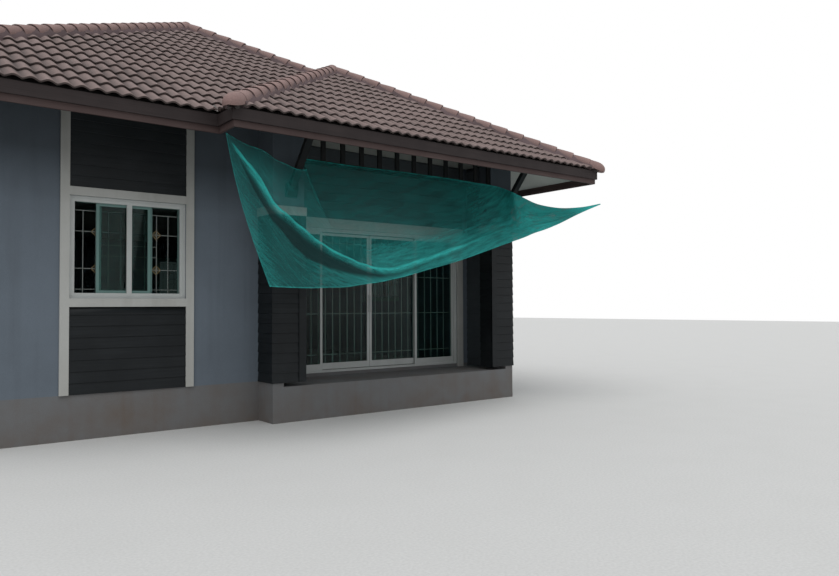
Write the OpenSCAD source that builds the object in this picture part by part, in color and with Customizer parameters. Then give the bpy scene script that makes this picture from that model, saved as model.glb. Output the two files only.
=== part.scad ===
// Single-storey house: a hip roof over a square body, and a lower hip over a
// terrace wing whose right side is flush with the body. Sizes are in
// millimetres. The origin is on the ground under the middle of the body, +Z is
// up and the street lies towards -Y.

/* [Plan] */
// Width of the body between its outer wall faces
body_w = 7644; // [7200:2:8600]
// Depth of the body between its outer wall faces
body_d = 9644; // [9000:2:11000]
// How far the wing stands in front of the body
wing_out = 400; // [320:10:600]
// Depth of the open terrace, from the front of its piers to the door wall
terrace_d = 900; // [850:10:1300]
// Thickness of the outer walls
wall_t = 150; // [120:5:200]
// Thickness of the two walls at the sides of the terrace
terrace_wall_t = 150; // [120:5:240]
// Width of a pier, seen from the street
pier_w = 440; // [360:10:500]
// Depth of a pier
pier_d = 260; // [220:10:320]

/* [Levels] */
// Top of the floor above the ground
floor_z = 500; // [400:10:600]
// Thickness of the floor slab
slab_t = 150; // [120:5:200]
// How far the terrace lies below the floor
terrace_step = 50; // [30:5:80]
// Height of the ceiling above the floor
room_h = 2600; // [2500:10:2700]
// Thickness of the ceiling boards
ceiling_t = 20; // [12:1:30]
// Underside of the terrace ceiling above the ground
terrace_ceiling_z = 3780; // [3700:10:3820]

/* [Roof] */
// Height of the tile edge at the eaves
eave_z = 3620; // [3580:10:3800]
// Slope of all the roof planes, in degrees
roof_pitch = 30; // [28:0.5:33]
// How far the tile edge stands out from the walls
eave_out = 978; // [900:2:1100]
// How far it stands out on the right side
eave_right_out = 1056; // [900:2:1150]
// Height of the tile covering, measured plumb
tile_t = 35; // [30:1:45]
// Height of rafters and boarding under the tiles, measured plumb
deck_t = 120; // [100:5:140]
// Thickness of the soffit boards
soffit_t = 12; // [8:1:16]
// Open joint between two soffit boards at a corner
soffit_joint = 4; // [2:1:8]
// Radius of the half-round hip and ridge caps
cap_r = 105; // [90:1:120]
// How far the axis of a cap lies below the tiles
cap_sink = 15; // [5:1:30]
// How much larger than the caps the knuckles are that join them at the peaks
knuckle = 14; // [6:1:25]

/* [Fascia] */
// Thickness of a fascia board
fascia_t = 25; // [20:1:30]
// How far the tile edge stands out from the upper fascia board
tile_lip = 45; // [30:1:70]
// Groove between the two boards, below the tile edge
fascia_groove = 152; // [140:1:160]
// Underside of the lower board, below the tile edge
fascia_drop = 225; // [205:1:240]
// Top of the upper board, below the tile edge
fascia_top = 20; // [15:1:30]

/* [Windows] */
// Width of a window opening
win_w = 1290; // [1100:10:1400]
// Sill of the windows above the ground
win_sill_z = 1560; // [1400:10:1650]
// Head of the windows above the ground
win_head_z = 2700; // [2600:10:2750]
// Width of the flat trim round windows and panels
trim_w = 95; // [80:5:120]
// How far the trim stands out from the wall
trim_t = 25; // [18:1:35]
// Width of the window frame bars
win_frame_w = 60; // [45:1:70]
// Depth of the window frame
win_frame_d = 90; // [80:1:100]
// How far the frame stands back from the wall face
win_frame_in = 30; // [20:1:40]
// Width of the raised edge round a window frame and the door frame
frame_lip_w = 24; // [15:1:35]
// How far that edge stands in front of the rest of the frame
frame_lip_d = 12; // [6:1:16]
// Width of the fixed bar in the middle of a window
mullion_w = 55; // [35:1:60]
// Depth of that bar, in front of the sashes
mullion_d = 35; // [25:1:38]
// Width of the bars of a sliding sash
sash_w = 32; // [28:1:40]
// Thickness of a sliding sash
sash_t = 25; // [20:1:28]
// Thickness of the window glass
glass_t = 6; // [4:1:8]
// Thickness of the dark boards over and under a window
board_t = 15; // [10:1:20]
// Front window, from the left corner of the body to its middle
front_window_from_corner = 1844; // [1700:1:1950]
// First window on the left wall, from the front corner to its middle
left_window_from_corner = 1845; // [1500:5:2000]
// First window on the right wall, from the front corner to its middle
right_window_from_corner = 3100; // [2600:10:3600]
// Rear window on each side wall, from the back corner to its middle
rear_window_from_corner = 2300; // [1900:10:2600]
// How far the front window's left sash is pushed open from its side
front_left_open = 233; // [0:1:300]
// How far its right sash is pushed open
front_right_open = 309; // [0:1:330]

/* [Terrace door] */
// Width of the opening in the door wall
door_w = 3410; // [3000:10:3600]
// Height of the opening above the floor
door_h = 2100; // [2000:10:2150]
// Width of the trim beside the door
door_trim_w = 125; // [100:5:200]
// Strip of wall between that trim and the side of the terrace
door_trim_gap = 120; // [20:5:150]
// Width of the trim over the door
door_head_trim_w = 145; // [100:5:160]
// Width of the door frame's sides and head
door_frame_w = 50; // [40:1:60]
// Depth of the door frame
door_frame_d = 100; // [94:1:110]
// How far the door frame stands back from the wall face
door_frame_in = 20; // [10:1:40]
// How far the fixed panels stand back from the front of the frame
fixed_panel_in = 15; // [8:1:20]
// Clearance between the fixed panels and the leaves behind them
track_gap = 10; // [6:1:14]
// Height of the door frame's bottom rail
door_sill_h = 30; // [25:1:40]
// Thickness of a glazed door panel
panel_t = 30; // [28:1:34]
// Width of the uprights of a door panel
stile_w = 38; // [32:1:50]
// Width of a fixed panel
fixed_panel_w = 805; // [740:5:850]
// Height of the bottom rail of a door panel
bottom_rail_h = 90; // [70:5:120]
// How far a closed leaf overlaps the fixed panel behind it
panel_overlap = 38; // [32:1:50]
// Clearance round a sliding leaf
slide_gap = 8; // [6:1:10]
// Width and depth of the grooves in the sill that the panels run in
groove_w = 14; // [8:1:20]
groove_d = 12; // [6:1:16]
// Height of the pull on a leaf
pull_h = 260; // [200:10:320]
// How far the pull stands out from the leaf
pull_out = 14; // [10:1:16]
// Middle of the pull above the floor
pull_z = 1000; // [900:10:1100]

/* [Side door] */
// Width of the opening of the side door
side_door_w = 900; // [800:10:1000]
// Side door, from the front corner of the body to its middle
side_door_from_corner = 4350; // [4000:10:4700]
// Width of the side door's frame
side_frame_w = 50; // [40:1:60]
// How far the side door's frame stands back from both wall faces
side_frame_in = 30; // [20:1:40]
// How far its leaf stands back from the front of the frame
side_leaf_in = 15; // [10:1:20]
// Height of the side door's threshold
side_sill_h = 20; // [15:1:30]
// Thickness of the side door's leaf
side_leaf_t = 40; // [35:1:45]
// Underside of the bar between the leaf and the light over it, above the floor
side_bar_z = 1920; // [1850:10:1980]
// Width of the leaf's rails and uprights round its panels
side_rail_w = 110; // [90:5:130]
// Depth of the leaf's panels on each face
side_panel_d = 10; // [6:1:14]

/* [Porch] */
// Underside of the beam between the piers
beam_z = 3320; // [3200:10:3400]
// Height of that beam
beam_h = 55; // [40:5:90]
// Depth of that beam
beam_d = 70; // [60:5:90]
// Least distance between the upright slats over the beam
slat_step = 300; // [250:10:350]
// Width of a slat
slat_w = 65; // [50:5:80]
// Thickness of a slat
slat_t = 30; // [20:1:40]
// Depth of the header that the slats reach up to
header_d = 100; // [80:5:120]
// Width of a knee brace, seen from the street
brace_w = 90; // [80:5:120]
// Height of a knee brace where it leaves its pier, measured plumb
brace_h = 95; // [80:5:130]
// Foot of a knee brace on its pier
brace_z = 2880; // [2860:10:2950]
// Reach of a knee brace in front of its pier
brace_out = 640; // [500:10:700]
// How far the braces stand to the right of the middle of their piers
brace_right = 25; // [0:5:60]
// Width of the block at the foot of a brace
shoe_w = 150; // [130:5:180]
// Height of that block
shoe_h = 170; // [150:10:200]
// How far it stands out from the pier
shoe_out = 70; // [50:5:90]
// Thickness of the boards on the piers
cladding_t = 15; // [10:1:20]
// Width of the upright strip on the inner corner of those boards
strip_w = 100; // [80:5:120]
// How far that strip stands out from the boards
strip_t = 8; // [5:1:12]
// Underside of the pale band over those boards
band_z = 2620; // [2500:10:2700]
// Height of the band
band_h = 110; // [90:5:130]
// How far the band stands out from the pier
band_t = 25; // [20:1:35]

/* [Net] */
// Thickness of the shade net's solid
net_t = 8; // [6:1:12]
// How far the net bellies down between its edges
net_belly = 260; // [200:10:320]
// How far its left edge bows out to the left
net_bow = 50; // [0:5:60]

/* [Hidden] */

// Smoothness of the caps
$fn = 48;

// Outer wall faces of the body and the wing, which is as wide as the door, its
// trims and the two walls beside them need
wing_w = door_w + 2 * (door_trim_w + door_trim_gap + terrace_wall_t);
x0 = -body_w / 2;
x1 = body_w / 2;
y0 = -body_d / 2;
y1 = body_d / 2;
wing_x = x1 - wing_w;
wing_y = y0 - wing_out;
door_y = wing_y + terrace_d;

// Open space of the terrace
bay_x0 = wing_x + terrace_wall_t;
bay_x1 = x1 - terrace_wall_t;
gap_x0 = wing_x + pier_w;
gap_x1 = x1 - pier_w;
door_x = (wing_x + x1) / 2;
terrace_z = floor_z - terrace_step;
door_top_z = floor_z + door_h;
ceiling_z = floor_z + room_h;

// Roof plan: the tile edge, the ridge ends and the wing's ridge
slope = tan(roof_pitch);
rx0 = x0 - eave_out;
rx1 = x1 + eave_right_out;
ry0 = y0 - eave_out;
ry1 = y1 + eave_out;
rwx = wing_x - eave_out;
rwy = wing_y - eave_out;
half_w = (rx1 - rx0) / 2;
wing_half = (rx1 - rwx) / 2;
corner_fl = [rx0, ry0];
corner_bl = [rx0, ry1];
corner_br = [rx1, ry1];
valley_foot = [rwx, ry0];
wing_fl = [rwx, rwy];
wing_fr = [rx1, rwy];
ridge_front = [rx0 + half_w, ry0 + half_w];
ridge_back = [rx0 + half_w, ry1 - half_w];
wing_top = [rwx + wing_half, rwy + wing_half];
wing_end = [rwx + wing_half, ry0 + wing_half];
ridge_z = eave_z + half_w * slope;
wing_ridge_z = eave_z + wing_half * slope;

// Depths below the tile surface
deck_drop = tile_t + deck_t;
soffit_drop = deck_drop + soffit_t;
fascia_back = tile_lip + 2 * fascia_t;

// A height above all the roofs, and a length past all the walls
top_z = eave_z + half_w;
far = body_w + body_d;

// Colours
grey_render = [0.45, 0.49, 0.56];
dark_render = [0.36, 0.37, 0.38];
cream = [0.78, 0.77, 0.70];
white_frame = [0.86, 0.87, 0.86];
dark_board = [0.13, 0.15, 0.17];
black_paint = [0.06, 0.06, 0.07];
tile_brown = [0.50, 0.41, 0.39];
cap_brown = [0.48, 0.33, 0.30];
board_brown = [0.27, 0.20, 0.19];
board_red = [0.42, 0.30, 0.28];
pale_soffit = [0.62, 0.65, 0.60];
glass_tint = [0.25, 0.40, 0.40, 0.5];
net_green = [0.06, 0.45, 0.40, 0.8];

// Shapes that several pieces share

// A block between two opposite corners
module block(low, high) {
  translate(low) cube(high - low);
}

// Everything inside a plan outline, from the ground up
module over(plan) {
  linear_extrude(top_z) polygon(plan);
}

// Outline of the walls, body and wing together
module wall_plan() {
  over([[x0, y0], [wing_x, y0], [wing_x, wing_y], [x1, wing_y], [x1, y1], [x0, y1]]);
}

// Outline of the roof, moved in from the tile edge
module roof_plan(inset) {
  over([
    [rx0 + inset, ry0 + inset], [rwx + inset, ry0 + inset], [rwx + inset, rwy + inset],
    [rx1 - inset, rwy + inset], [rx1 - inset, ry1 - inset], [rx0 + inset, ry1 - inset]]);
}

// A shape seen along an eave, drawn from the tile edge inwards and up, set on an
// eave edge that rises in the direction turn: 0 to the back, -90 to the right,
// 180 to the front, 90 to the left
module along_eave(plane) {
  translate([plane[0][0], plane[0][1], eave_z])
    rotate([0, 0, plane[1]])
      translate([-2 * far, 0, 0])
        rotate([90, 0, 90])
          linear_extrude(4 * far)
            children();
}

// A layer of a roof plane, between two depths below the tile surface
module slope_layer(plane, top, bottom) {
  along_eave(plane)
    polygon([
      [0, -top], [far, far * slope - top], [far, far * slope - bottom], [0, -bottom]]);
}

// All the space below a roof plane, down to the ground
module under_plane(plane, drop) {
  along_eave(plane)
    polygon([[0, -drop], [far, far * slope - drop], [far, -eave_z], [0, -eave_z]]);
}

// Each roof plane: one eave corner, the direction in which it rises, its plan
front_plane = [corner_fl, 0, [corner_fl, valley_foot, wing_end, ridge_front]];
left_plane = [corner_fl, -90, [corner_fl, ridge_front, ridge_back, corner_bl]];
back_plane = [corner_bl, 180, [corner_bl, ridge_back, corner_br]];
right_plane = [wing_fr, 90, [corner_br, ridge_back, ridge_front, wing_end, wing_top, wing_fr]];
wing_front_plane = [wing_fl, 0, [wing_fl, wing_fr, wing_top]];
wing_left_plane = [wing_fl, -90, [wing_fl, wing_top, wing_end, valley_foot]];
PLANES = [front_plane, left_plane, back_plane, right_plane, wing_front_plane, wing_left_plane];

// A roof plane: tiles out to the eave edge, rafters and boarding behind the fascia
module roof_slope(plane) {
  color(tile_brown) {
    intersection() {
      slope_layer(plane, 0, tile_t);
      over(plane[2]);
    }
    intersection() {
      slope_layer(plane, 0, deck_drop);
      over(plane[2]);
      roof_plan(fascia_back);
    }
  }
}

// The space under both hip roofs, moved down from the tile surface
module under_roof(drop) {
  intersection() {
    under_plane(front_plane, drop);
    under_plane(left_plane, drop);
    under_plane(back_plane, drop);
    under_plane(right_plane, drop);
  }
  intersection() {
    under_plane(wing_front_plane, drop);
    under_plane(wing_left_plane, drop);
    under_plane(right_plane, drop);
    block([rwx, rwy, 0], [rx1, ridge_front[1], top_z]);
  }
}

// What stands inside the house reaches up to the rafters
module up_to_rafters() {
  intersection() {
    children();
    under_roof(deck_drop);
  }
}

// What stands outside the walls reaches up to the soffit
module up_to_soffit() {
  intersection() {
    children();
    under_roof(soffit_drop);
  }
}

// A wall block from the floor to the rafters
module wall_block(low, high) {
  up_to_rafters()
    block([low[0], low[1], floor_z], [high[0], high[1], top_z]);
}

// Places on the walls. Locally x runs along the wall from left to right, seen
// from outside, y goes into the wall from its outer face, and z is up.
module on_wall(side, along) {
  place = side == "front" ? [along, y0, 0]
    : side == "back" ? [along, y1, 0]
    : side == "left" ? [x0, along, 0] : [x1, along, 0];
  turn = side == "front" ? 0 : side == "back" ? 180 : side == "left" ? -90 : 90;
  translate(place) rotate([0, 0, turn]) children();
}

// Every window: its wall, the place of its middle, and how far its two sashes are
// open
front_window_x = x0 + front_window_from_corner;
shut = [0, 0];
WINDOWS = [
  ["front", front_window_x, [front_left_open, front_right_open]],
  ["left", y0 + left_window_from_corner, shut],
  ["left", y1 - rear_window_from_corner, shut],
  ["right", y0 + right_window_from_corner, shut],
  ["right", y1 - rear_window_from_corner, shut],
  ["back", front_window_x, shut],
  ["back", -front_window_x, shut]];
side_door_y = y0 + side_door_from_corner;

// Holes for the windows of one wall, and for the side door
module window_holes(side) {
  for (w = WINDOWS)
    if (w[0] == side)
      on_wall(side, w[1])
        block([-win_w / 2, -wall_t, win_sill_z], [win_w / 2, 2 * wall_t, win_head_z]);
}

module side_door_hole() {
  on_wall("left", side_door_y)
    block([-side_door_w / 2, -wall_t, floor_z - 1], [side_door_w / 2, 2 * wall_t, win_head_z]);
}

// A rectangular frame in the local x and z directions
module frame_ring(low, high, side_w, bottom_w, top_w) {
  difference() {
    block(low, high);
    block(
      [low[0] + side_w, low[1] - 1, low[2] + bottom_w],
      [high[0] - side_w, high[1] + 1, high[2] - top_w]);
  }
}

// A frame with a raised edge along its outside, front face at y = 0
module lipped_frame(left, right, low_z, high_z, depth, side_w, bottom_w, top_w) {
  frame_ring([left, 0, low_z], [right, depth, high_z], side_w, bottom_w, top_w);
  frame_ring(
    [left, -frame_lip_d, low_z], [right, 1, high_z],
    frame_lip_w, min(frame_lip_w, bottom_w), frame_lip_w);
}

// Ground and floor

module foundation() {
  color(dark_render)
    intersection() {
      wall_plan();
      block([x0, wing_y, 0], [x1, y1, floor_z - slab_t]);
    }
}

module floor_slab() {
  color(dark_render)
    difference() {
      intersection() {
        wall_plan();
        block([x0, wing_y, floor_z - slab_t], [x1, y1, floor_z]);
      }
      block([bay_x0, wing_y - 1, terrace_z], [bay_x1, door_y, floor_z + 1]);
    }
}

// Walls

module wall_front() {
  color(grey_render)
    difference() {
      wall_block([x0, y0], [wing_x, y0 + wall_t]);
      window_holes("front");
    }
}

module wall_left() {
  color(grey_render)
    difference() {
      wall_block([x0, y0 + wall_t], [x0 + wall_t, y1 - wall_t]);
      window_holes("left");
      side_door_hole();
    }
}

module wall_right() {
  color(grey_render)
    difference() {
      wall_block([x1 - wall_t, door_y + wall_t], [x1, y1 - wall_t]);
      window_holes("right");
    }
}

module wall_back() {
  color(grey_render)
    difference() {
      wall_block([x0, y1 - wall_t], [x1, y1]);
      window_holes("back");
    }
}

module terrace_wall_left() {
  color(grey_render)
    wall_block([wing_x, wing_y + pier_d], [bay_x0, door_y + wall_t]);
}

module terrace_wall_right() {
  color(grey_render)
    wall_block([bay_x1, wing_y + pier_d], [x1, door_y + wall_t]);
}

// Piers at the front of the terrace

module pier(x) {
  color(grey_render)
    wall_block([x, wing_y], [x + pier_w, wing_y + pier_d]);
}

module pier_left() {
  pier(wing_x);
}

module pier_right() {
  pier(x1 - pier_w);
}

// A jacket round the front, the outer side and the inner side of a pier. The
// outer side goes back to the body's front wall.
module pier_jacket(thick, low_z, high_z) {
  for (right = [0, 1])
    translate([right ? wing_x + x1 : 0, 0, 0])
      mirror([right, 0, 0])
        difference() {
          block([wing_x - thick, wing_y - thick, low_z], [wing_x + pier_w + thick, y0, high_z]);
          block([wing_x, wing_y, low_z - 1], [wing_x + pier_w, y0 + 1, high_z + 1]);
          block(
            [wing_x + thick, wing_y + pier_d, low_z - 1],
            [wing_x + pier_w + thick + 1, y0 + 1, high_z + 1]);
        }
}

module pier_cladding() {
  color(dark_board) {
    pier_jacket(cladding_t, floor_z, band_z);
    for (right = [0, 1])
      translate([right ? wing_x + x1 : 0, 0, 0])
        mirror([right, 0, 0])
          block(
            [gap_x0 + cladding_t - strip_w, wing_y - cladding_t - strip_t, floor_z],
            [gap_x0 + cladding_t, wing_y - cladding_t + 1, band_z]);
  }
}

module pier_bands() {
  color(cream)
    pier_jacket(band_t, band_z, band_z + band_h);
}

// Door wall at the back of the terrace

module door_wall_left() {
  color(grey_render)
    wall_block([bay_x0, door_y], [door_x - door_w / 2, door_y + wall_t]);
}

module door_wall_right() {
  color(grey_render)
    wall_block([door_x + door_w / 2, door_y], [bay_x1, door_y + wall_t]);
}

module door_wall_top() {
  color(grey_render)
    up_to_rafters()
      block(
        [door_x - door_w / 2, door_y, door_top_z],
        [door_x + door_w / 2, door_y + wall_t, top_z]);
}

module door_trim() {
  color(cream)
    difference() {
      block(
        [door_x - door_w / 2 - door_trim_w, door_y - trim_t, terrace_z],
        [door_x + door_w / 2 + door_trim_w, door_y, door_top_z + door_head_trim_w]);
      block(
        [door_x - door_w / 2, door_y - trim_t - 1, terrace_z - 1],
        [door_x + door_w / 2, door_y + 1, door_top_z]);
    }
}

// Glazed door: a frame, two fixed outer panels in the front groove and two
// wider leaves in the back groove, which slide outwards behind them
door_front = door_y + door_frame_in;
fixed_y = door_front + fixed_panel_in;
leaf_y = fixed_y + panel_t + track_gap;
door_half = door_w / 2 - door_frame_w;
leaf_w = door_half - fixed_panel_w + panel_overlap - slide_gap / 2;
panel_low_z = floor_z + door_sill_h;
panel_high_z = door_top_z - door_frame_w;

module door_frame() {
  color(white_frame)
    difference() {
      translate([door_x, door_front, 0])
        lipped_frame(
          -door_w / 2, door_w / 2, floor_z, door_top_z,
          door_frame_d, door_frame_w, door_sill_h, door_frame_w);
      for (y = [fixed_y, leaf_y])
        translate([door_x, y + (panel_t - groove_w) / 2, panel_low_z - groove_d])
          block([-door_half, 0, 0], [door_half, groove_w, groove_d + 1]);
    }
}

// One glazed panel between two heights, from x to x + width
module panel(x, y, width, low_z, high_z) {
  frame_ring([x, y, low_z], [x + width, y + panel_t, high_z], stile_w, bottom_rail_h, stile_w);
}

module panel_glass(x, y, width, low_z, high_z) {
  middle = y + panel_t / 2;
  block(
    [x + stile_w, middle - glass_t / 2, low_z + bottom_rail_h],
    [x + width - stile_w, middle + glass_t / 2, high_z - stile_w]);
}

module fixed_panels() {
  color(white_frame)
    translate([door_x, 0, 0])
      for (right = [0, 1])
        mirror([right, 0, 0])
          panel(-door_half, fixed_y, fixed_panel_w, panel_low_z, panel_high_z);
}

module fixed_glass() {
  color(glass_tint)
    translate([door_x, 0, 0])
      for (right = [0, 1])
        mirror([right, 0, 0])
          panel_glass(-door_half, fixed_y, fixed_panel_w, panel_low_z, panel_high_z);
}

// A sliding leaf with its pull: 0 is the left one, 1 is the right one
module leaf(right) {
  pull_low = floor_z + pull_z - pull_h / 2;
  color(white_frame)
    translate([door_x, 0, 0])
      mirror([right, 0, 0]) {
        panel(
          -leaf_w - slide_gap / 2, leaf_y, leaf_w,
          panel_low_z + slide_gap, panel_high_z - slide_gap);
        translate([-slide_gap / 2 - stile_w / 2, leaf_y, pull_low])
          linear_extrude(pull_h)
            polygon([
              [-stile_w / 3, 1], [-stile_w / 3, -pull_out / 4], [0, -pull_out / 4],
              [stile_w / 6, -pull_out], [stile_w / 3, -pull_out], [stile_w / 3, 1]]);
      }
}

module leaf_glass(right) {
  color(glass_tint)
    translate([door_x, 0, 0])
      mirror([right, 0, 0])
        panel_glass(
          -leaf_w - slide_gap / 2, leaf_y, leaf_w,
          panel_low_z + slide_gap, panel_high_z - slide_gap);
}

module door_leaf_left() {
  leaf(0);
}

module door_leaf_right() {
  leaf(1);
}

module leaf_glass_left() {
  leaf_glass(0);
}

module leaf_glass_right() {
  leaf_glass(1);
}

// Windows

// Upright trims from the plinth to the soffit, with a head and a sill between
module window_trim() {
  outer = win_w / 2 + trim_w;
  for (x = [-outer, win_w / 2])
    block([x, -trim_t, floor_z], [x + trim_w, 0, top_z]);
  block([-win_w / 2 - 1, -trim_t, win_head_z], [win_w / 2 + 1, 0, win_head_z + trim_w]);
  block([-win_w / 2 - 1, -trim_t, win_sill_z - trim_w], [win_w / 2 + 1, 0, win_sill_z]);
}

module window_trims() {
  color(cream)
    up_to_soffit()
      for (w = WINDOWS)
        on_wall(w[0], w[1])
          window_trim();
}

// Frame and middle bar of a window, and its two sashes on two tracks
win_inner = win_w / 2 - win_frame_w;
sash_y = win_frame_in + mullion_d;
sash_len = win_inner + sash_w / 2;

module window_frame(open) {
  translate([0, win_frame_in, 0])
    lipped_frame(
      -win_w / 2, win_w / 2, win_sill_z, win_head_z,
      win_frame_d, win_frame_w, win_frame_w, win_frame_w);
  block(
    [-mullion_w / 2, win_frame_in, win_sill_z + win_frame_w - 1],
    [mullion_w / 2, sash_y, win_head_z - win_frame_w + 1]);
  for (right = [0, 1])
    window_sash(right, open)
      frame_ring(
        [0, 0, win_sill_z + win_frame_w - 1], [sash_len, sash_t, win_head_z - win_frame_w + 1],
        sash_w, sash_w, sash_w);
}

// Place of a sash: the left one is in front, the right one behind it
module window_sash(right, open) {
  mirror([right, 0, 0])
    translate([-win_inner + open[right], sash_y + right * sash_t, 0])
      children();
}

module window_panes(open) {
  for (right = [0, 1])
    window_sash(right, open)
      block(
        [sash_w, (sash_t - glass_t) / 2, win_sill_z + win_frame_w + sash_w - 1],
        [sash_len - sash_w, (sash_t + glass_t) / 2, win_head_z - win_frame_w - sash_w + 1]);
}

module window_frames() {
  color(white_frame)
    for (w = WINDOWS)
      on_wall(w[0], w[1])
        window_frame(w[2]);
}

module window_glass() {
  color(glass_tint) {
    for (w = WINDOWS)
      on_wall(w[0], w[1])
        window_panes(w[2]);
    on_wall("left", side_door_y)
      block(
        [-side_light + sash_w, side_leaf_y + (side_leaf_t - glass_t) / 2, side_light_z + sash_w],
        [
          side_light - sash_w, side_leaf_y + (side_leaf_t + glass_t) / 2,
          win_head_z - side_frame_w - sash_w]);
  }
}

// Dark boards between the trims, over and under each window, over the door, and
// on the side walls of the terrace
module board_panels() {
  color(dark_board) {
    up_to_soffit()
      for (w = WINDOWS)
        on_wall(w[0], w[1]) {
          block(
            [-win_w / 2, -board_t, win_head_z + trim_w], [win_w / 2, 0, top_z]);
          block([-win_w / 2, -board_t, floor_z], [win_w / 2, 0, win_sill_z - trim_w]);
        }
    block(
      [door_x - door_w / 2 - door_trim_w, door_y - board_t, door_top_z + door_head_trim_w],
      [door_x + door_w / 2 + door_trim_w, door_y, terrace_ceiling_z]);
    for (x = [bay_x0, bay_x1 - cladding_t])
      block(
        [x, wing_y + pier_d, terrace_z], [x + cladding_t, door_y, terrace_ceiling_z]);
  }
}

// Side door: a frame, a leaf with panels and a small light over it
side_light = side_door_w / 2 - side_frame_w;
side_leaf_y = side_frame_in + side_leaf_in;
side_light_z = floor_z + side_bar_z + side_frame_w;

module side_door_leaf() {
  low_z = floor_z + side_sill_h;
  high_z = floor_z + side_bar_z;
  middle_z = (low_z + high_z) / 2;
  difference() {
    block([-side_light, side_leaf_y, low_z], [side_light, side_leaf_y + side_leaf_t, high_z]);
    for (y = [side_leaf_y - 1, side_leaf_y + side_leaf_t - side_panel_d])
      for (z = [[low_z + side_rail_w, middle_z - side_rail_w / 2],
                [middle_z + side_rail_w / 2, high_z - side_rail_w]])
        block(
          [-side_light + side_rail_w, y, z[0]],
          [side_light - side_rail_w, y + side_panel_d + 1, z[1]]);
  }
}

module side_door() {
  color(white_frame)
    on_wall("left", side_door_y) {
      frame_ring(
        [-side_door_w / 2, side_frame_in, floor_z],
        [side_door_w / 2, wall_t - side_frame_in, win_head_z],
        side_frame_w, side_sill_h, side_frame_w);
      block(
        [-side_light, side_frame_in, floor_z + side_bar_z],
        [side_light, wall_t - side_frame_in, side_light_z]);
      side_door_leaf();
      frame_ring(
        [-side_light, side_leaf_y, side_light_z],
        [side_light, side_leaf_y + side_leaf_t, win_head_z - side_frame_w],
        sash_w, sash_w, sash_w);
    }
}

// Ceilings

module ceiling() {
  color(pale_soffit)
    difference() {
      block(
        [x0 + wall_t, y0 + wall_t, ceiling_z],
        [x1 - wall_t, y1 - wall_t, ceiling_z + ceiling_t]);
      block([wing_x, wing_y, ceiling_z - 1], [x1, door_y + wall_t, ceiling_z + ceiling_t + 1]);
    }
}

module terrace_ceiling() {
  color(pale_soffit) {
    block(
      [gap_x0, wing_y + header_d, terrace_ceiling_z],
      [gap_x1, wing_y + pier_d, terrace_ceiling_z + ceiling_t]);
    block(
      [bay_x0, wing_y + pier_d, terrace_ceiling_z],
      [bay_x1, door_y, terrace_ceiling_z + ceiling_t]);
  }
}

// Porch front

module porch_beam() {
  color(black_paint)
    block([gap_x0, wing_y, beam_z], [gap_x1, wing_y + beam_d, beam_z + beam_h]);
}

module porch_header() {
  color(black_paint)
    up_to_rafters()
      block([gap_x0, wing_y, terrace_ceiling_z], [gap_x1, wing_y + header_d, top_z]);
}

// Slats between equal bays, and one more against the right pier
module porch_slats() {
  bays = floor((gap_x1 - gap_x0) / slat_step);
  bay = (gap_x1 - gap_x0) / bays;
  color(black_paint)
    for (x = [for (i = [1 : bays - 1]) gap_x0 + i * bay - slat_w / 2, gap_x1 - slat_w])
      translate([x, wing_y + (beam_d - slat_t) / 2, 0])
        block([0, 0, beam_z + beam_h], [slat_w, slat_t, terrace_ceiling_z]);
}

// A knee brace from its pier out to the soffit, with a block at its foot
module knee_brace() {
  rise = eave_z - soffit_drop + (eave_out - brace_out) * slope - brace_z;
  past = 1.2;
  translate([-brace_w / 2, 0, 0])
    rotate([90, 0, 90])
      linear_extrude(brace_w)
        polygon([
          [0, 0], [-past * brace_out, past * rise],
          [-past * brace_out, past * rise + brace_h], [0, brace_h]]);
  translate([-shoe_w / 2, 0, (brace_h - shoe_h) / 2])
    rotate([90, 0, 90])
      linear_extrude(shoe_w)
        polygon([
          [0, 0], [-shoe_out / 3, 0], [-shoe_out, shoe_h / 2], [-shoe_out, shoe_h], [0, shoe_h]]);
}

module knee_braces() {
  color(black_paint)
    up_to_soffit()
      for (x = [wing_x + pier_w / 2, x1 - pier_w / 2])
        translate([x + brace_right, wing_y, brace_z])
          knee_brace();
}

// Roof

module roof_front() {
  roof_slope(front_plane);
}

module roof_left() {
  roof_slope(left_plane);
}

module roof_back() {
  roof_slope(back_plane);
}

module roof_right() {
  roof_slope(right_plane);
}

module roof_wing_front() {
  roof_slope(wing_front_plane);
}

module roof_wing_left() {
  roof_slope(wing_left_plane);
}

// Soffit boards under the rafters, from the fascia to the walls, with an open
// joint where two of them meet under a hip or a valley
module soffits() {
  reach = 4 * eave_out;
  color(pale_soffit)
    difference() {
      for (plane = PLANES)
        intersection() {
          slope_layer(plane, deck_drop, soffit_drop);
          over(plane[2]);
          roof_plan(fascia_back);
        }
      wall_plan();
      for (joint = [
        [corner_fl, 45], [corner_br, 45], [corner_bl, -45], [wing_fl, 45], [wing_fr, -45],
        [valley_foot, 45]])
        translate([joint[0][0], joint[0][1], top_z / 2])
          rotate([0, 0, joint[1]])
            cube([reach, soffit_joint, top_z], center = true);
    }
}

// A board round all the eaves, between two distances in from the tile edge
module eave_board(front, back, low_z, high_z) {
  difference() {
    intersection() {
      roof_plan(front);
      block([rx0, rwy, low_z], [rx1, ry1, high_z]);
    }
    roof_plan(back);
  }
}

module fascia_upper() {
  color(board_brown)
    eave_board(tile_lip, tile_lip + fascia_t, eave_z - fascia_groove, eave_z - fascia_top);
}

module fascia_lower() {
  color(board_red)
    eave_board(tile_lip + fascia_t, fascia_back, eave_z - fascia_drop, eave_z - fascia_top);
}

// Half-round caps along every hip and ridge
module cap_line(from, from_z, to, to_z) {
  run = norm(to - from);
  length = norm([run, to_z - from_z]);
  translate([from[0], from[1], from_z - cap_sink])
    rotate([0, atan2(run, to_z - from_z), atan2(to[1] - from[1], to[0] - from[0])])
      cylinder(r = cap_r, h = length);
}

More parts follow.
